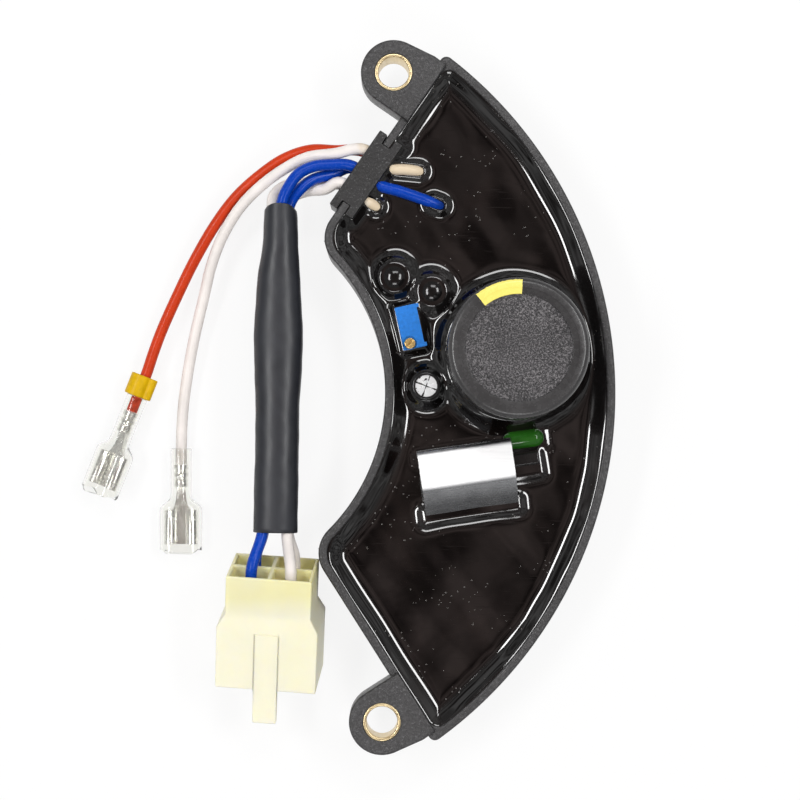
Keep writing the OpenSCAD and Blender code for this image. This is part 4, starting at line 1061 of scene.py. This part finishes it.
def boot(frame_m, name, node, phase):
    """Clear sleeve: neck, shoulder, flat body and a wavy mouth."""
    # Place along it, half width and half height
    rows = [(0.0, 2.3, 2.3), (0.4, 2.3, 2.3), (5, 2.28, 2.28), (10, 2.3, 2.3), (11, 2.4, 2.32),
            (11.7, 3.0, 2.42), (12.4, 4.0, 2.58), (13, 4.55, 2.67), (13.6, 4.68, BOOT_HALF),
            (16, 4.7, BOOT_HALF), (19, 4.66, BOOT_HALF), (22, 4.64, 2.68), (23.3, 4.66, 2.66)]
    wall, mouth_from, mouth_run = 0.45, 19, 4.3

    def ring(b, w, h, t, mouth):
        out = []
        for x, y in stadium(2 * (w - t), 2 * (h - t), 22):
            wave = mouth * (0.55 * math.cos(math.pi * x / w) + 0.25 * math.sin(2.3 * x + phase)) - 0.25 * mouth
            out.append(tuple(frame_m @ Vector((x, y, b + wave))))
        return out

    def side(t):
        return [ring(b, w, h, t, max(0.0, (b - mouth_from) / mouth_run)) for b, w, h in rows]

    (b0, w0, h0), (b1, w1, h1) = rows[0], rows[-1]
    mouth_lip, neck_lip = [ring(b1 + 0.12, w1, h1, 0.22, 1.0)], [ring(b0 - 0.08, w0, h0, 0.22, 0.0)]
    sleeve = loft(side(0.0) + mouth_lip + side(wall)[::-1] + neck_lip, loop=True)
    return keep(build(*sleeve, name, "clear_sleeve", 50), node)


red_m = boot_place(RED_BOOT, RED_YAW, RED_ROLL, RED_Z)
white_m = boot_place(WHITE_BOOT, WHITE_YAW, 0, BOOT_LIFT)
red_boot = boot(red_m, "red_clear_sleeve", "red_terminal_sleeve", 0.3)
white_boot = boot(white_m, "white_clear_sleeve", "white_terminal_sleeve", 1.9)


def receptacle(frame_m, name, node):
    """Terminal: two grips on the covering, one on the strands, a neck and two rolled sides on a floor."""
    parts = []
    n = 32
    blade_from, blade_to, half, roll_r, roll_in = 13.6, 21.2, 2.4, 1.3, 0.95

    def ring(b, r, x=0.0):
        return [(x + r * math.cos(2 * math.pi * k / n), r * math.sin(2 * math.pi * k / n), b) for k in range(n)]

    def bar(rows):
        """A flat bar; each row is a place along it, half its width, its lower and its upper face."""
        parts.append(loft([[(-w, lo, b), (w, lo, b), (w, hi, b), (-w, hi, b)] for b, w, lo, hi in rows]))

    grips = [(3.5, 1.45), (3.6, 1.6), (4.4, 1.6), (4.6, 1.36), (5.2, 1.36), (5.4, 1.58), (6.0, 1.56),
             (6.3, 1.34), (6.7, 1.36), (6.9, 1.5), (7.5, 1.44), (8.2, 1.5), (8.4, 1.4), (8.5, 1.2)]
    parts.append(loft([ring(b, r) for b, r in grips]))
    bar([(8.3, 1.0, -1.2, 0.4), (9.6, 1.0, -1.2, 0.1), (11.5, 1.15, -1.25, -0.1), (12.8, 1.5, -1.3, -0.3),
         (13.9, 2.2, -1.3, -0.5)])
    bar([(blade_from, half, -roll_r, -0.85), (blade_to, half, -roll_r, -0.85)])
    roll = [(blade_from, 1.2), (13.75, roll_r), (21.1, roll_r), (blade_to, 1.2), (21.1, roll_in),
            (13.7, roll_in)]
    for x in (half, -half):
        parts.append(loft([ring(b, r, x) for b, r in roll], loop=True))
    v, f = join(parts)
    return keep(build([tuple(frame_m @ Vector(q)) for q in v], f, name, "tinned", 40), node)


red_spade = receptacle(red_m, "red_receptacle", "red_spade_terminal")
white_spade = receptacle(white_m, "white_receptacle", "white_spade_terminal")
tag = bevelled("marker_tag", "marker_ring", "yellow_tag", 0.25, 3)


# Nodes that keep their own shape

for node, mat in (("capacitor_can", "can"), ("circuit_board", "board"), ("rectifier_diodes", "black_epoxy"),
                  ("resistors", "resistor_coat"), ("control_chip", "black_epoxy"),
                  ("connector_tabs", "tinned")):
    me = NODES[node].data
    me.materials.clear()
    me.materials.append(MATS[mat].m)


# Leads: each path scaled to metres, not used further

for key, ob in leads.items():
    path = PATHS[key] * MM


# Floor, light and world

FLOOR_HALF, FLOOR_GAP, WHITE_SHARE = 3.0, 0.02, 0.86


def stage_floor():
    """Pale floor that the camera, gloss and glass see as nearly white, with the shadow kept."""
    me = bpy.data.meshes.new("floor")
    h = FLOOR_HALF
    me.from_pydata([(-h, -h, 0), (h, -h, 0), (h, h, 0), (-h, h, 0)], [], [(0, 1, 2, 3)])
    ob = bpy.data.objects.new("floor", me)
    ob.location.z = (BACK_Z - FLOOR_GAP) * MM
    scene.collection.objects.link(ob)
    m = Mat("floor", (0.9, 0.9, 0.9), 0.9, Specular_IOR_Level=0.0)
    path = m.nt.nodes.new("ShaderNodeLightPath").outputs
    seen = path["Is Camera Ray"]
    for kind in ("Is Glossy Ray", "Is Transmission Ray"):
        seen = m.math("MAXIMUM", seen, path[kind])
    white = m.node("Emission", {"Color": (1, 1, 1, 1)})
    mixed = m.node("MixShader", {"Fac": m.mul(seen, WHITE_SHARE), 1: m.b.outputs[0], 2: white})
    m.put(m.nt.nodes["Material Output"].inputs["Surface"], mixed)
    me.materials.append(m.m)


stage_floor()


LAMP_AIM = Vector((10, 0, 0)) * MM


def lamp(name, at, size, power):
    """Softbox at a place in metres, turned to the part."""
    d = bpy.data.lights.new(name, "AREA")
    d.shape = "RECTANGLE"
    d.size, d.size_y = size
    d.energy = power
    ob = bpy.data.objects.new(name, d)
    scene.collection.objects.link(ob)
    ob.location = Vector(at)
    aim(ob, LAMP_AIM, (0, 1, 0.01))


lamp("softbox_left", (-0.52, 0.05, 0.9), (0.14, 0.52), 4.3)
lamp("softbox_right", (0.55, 0.15, 0.88), (0.17, 0.52), 3.7)
lamp("softbox_far", (0.1, 0.58, 0.88), (0.52, 0.21), 2.5)
lamp("softbox_near", (0.0, -0.6, 0.88), (0.44, 0.19), 1.9)


SKY = [(0.0, (0.55, 0.55, 0.55)), (0.45, (0.52, 0.52, 0.52)), (0.7, (0.45, 0.45, 0.45)),
       (0.86, (0.34, 0.3, 0.29)), (1.0, (0.3, 0.235, 0.22))]
SKY_STRENGTH, SKY_PATCHES = 0.66, 13.0


def studio():
    """Grey surroundings, warmer overhead, in soft patches that show in the gloss."""
    world = bpy.data.worlds.new("studio")
    scene.world = world
    world.use_nodes = True
    w = Nodes(world.node_tree)
    co = w.nt.nodes.new("ShaderNodeTexCoord").outputs["Generated"]
    up = w.node("SeparateXYZ", {0: co}, 2)
    patches = w.node("TexNoise", {"Vector": co, "Scale": SKY_PATCHES}, "Fac")
    uneven = w.span(patches, 0.35, 0.65, 0.12, 1.75)
    shade = w.node("VectorMath", {0: w.ramp(up, SKY), "Scale": uneven}, operation="SCALE")
    bg = w.nt.nodes["Background"]
    w.put(bg.inputs["Color"], shade)
    bg.inputs["Strength"].default_value = SKY_STRENGTH


studio()
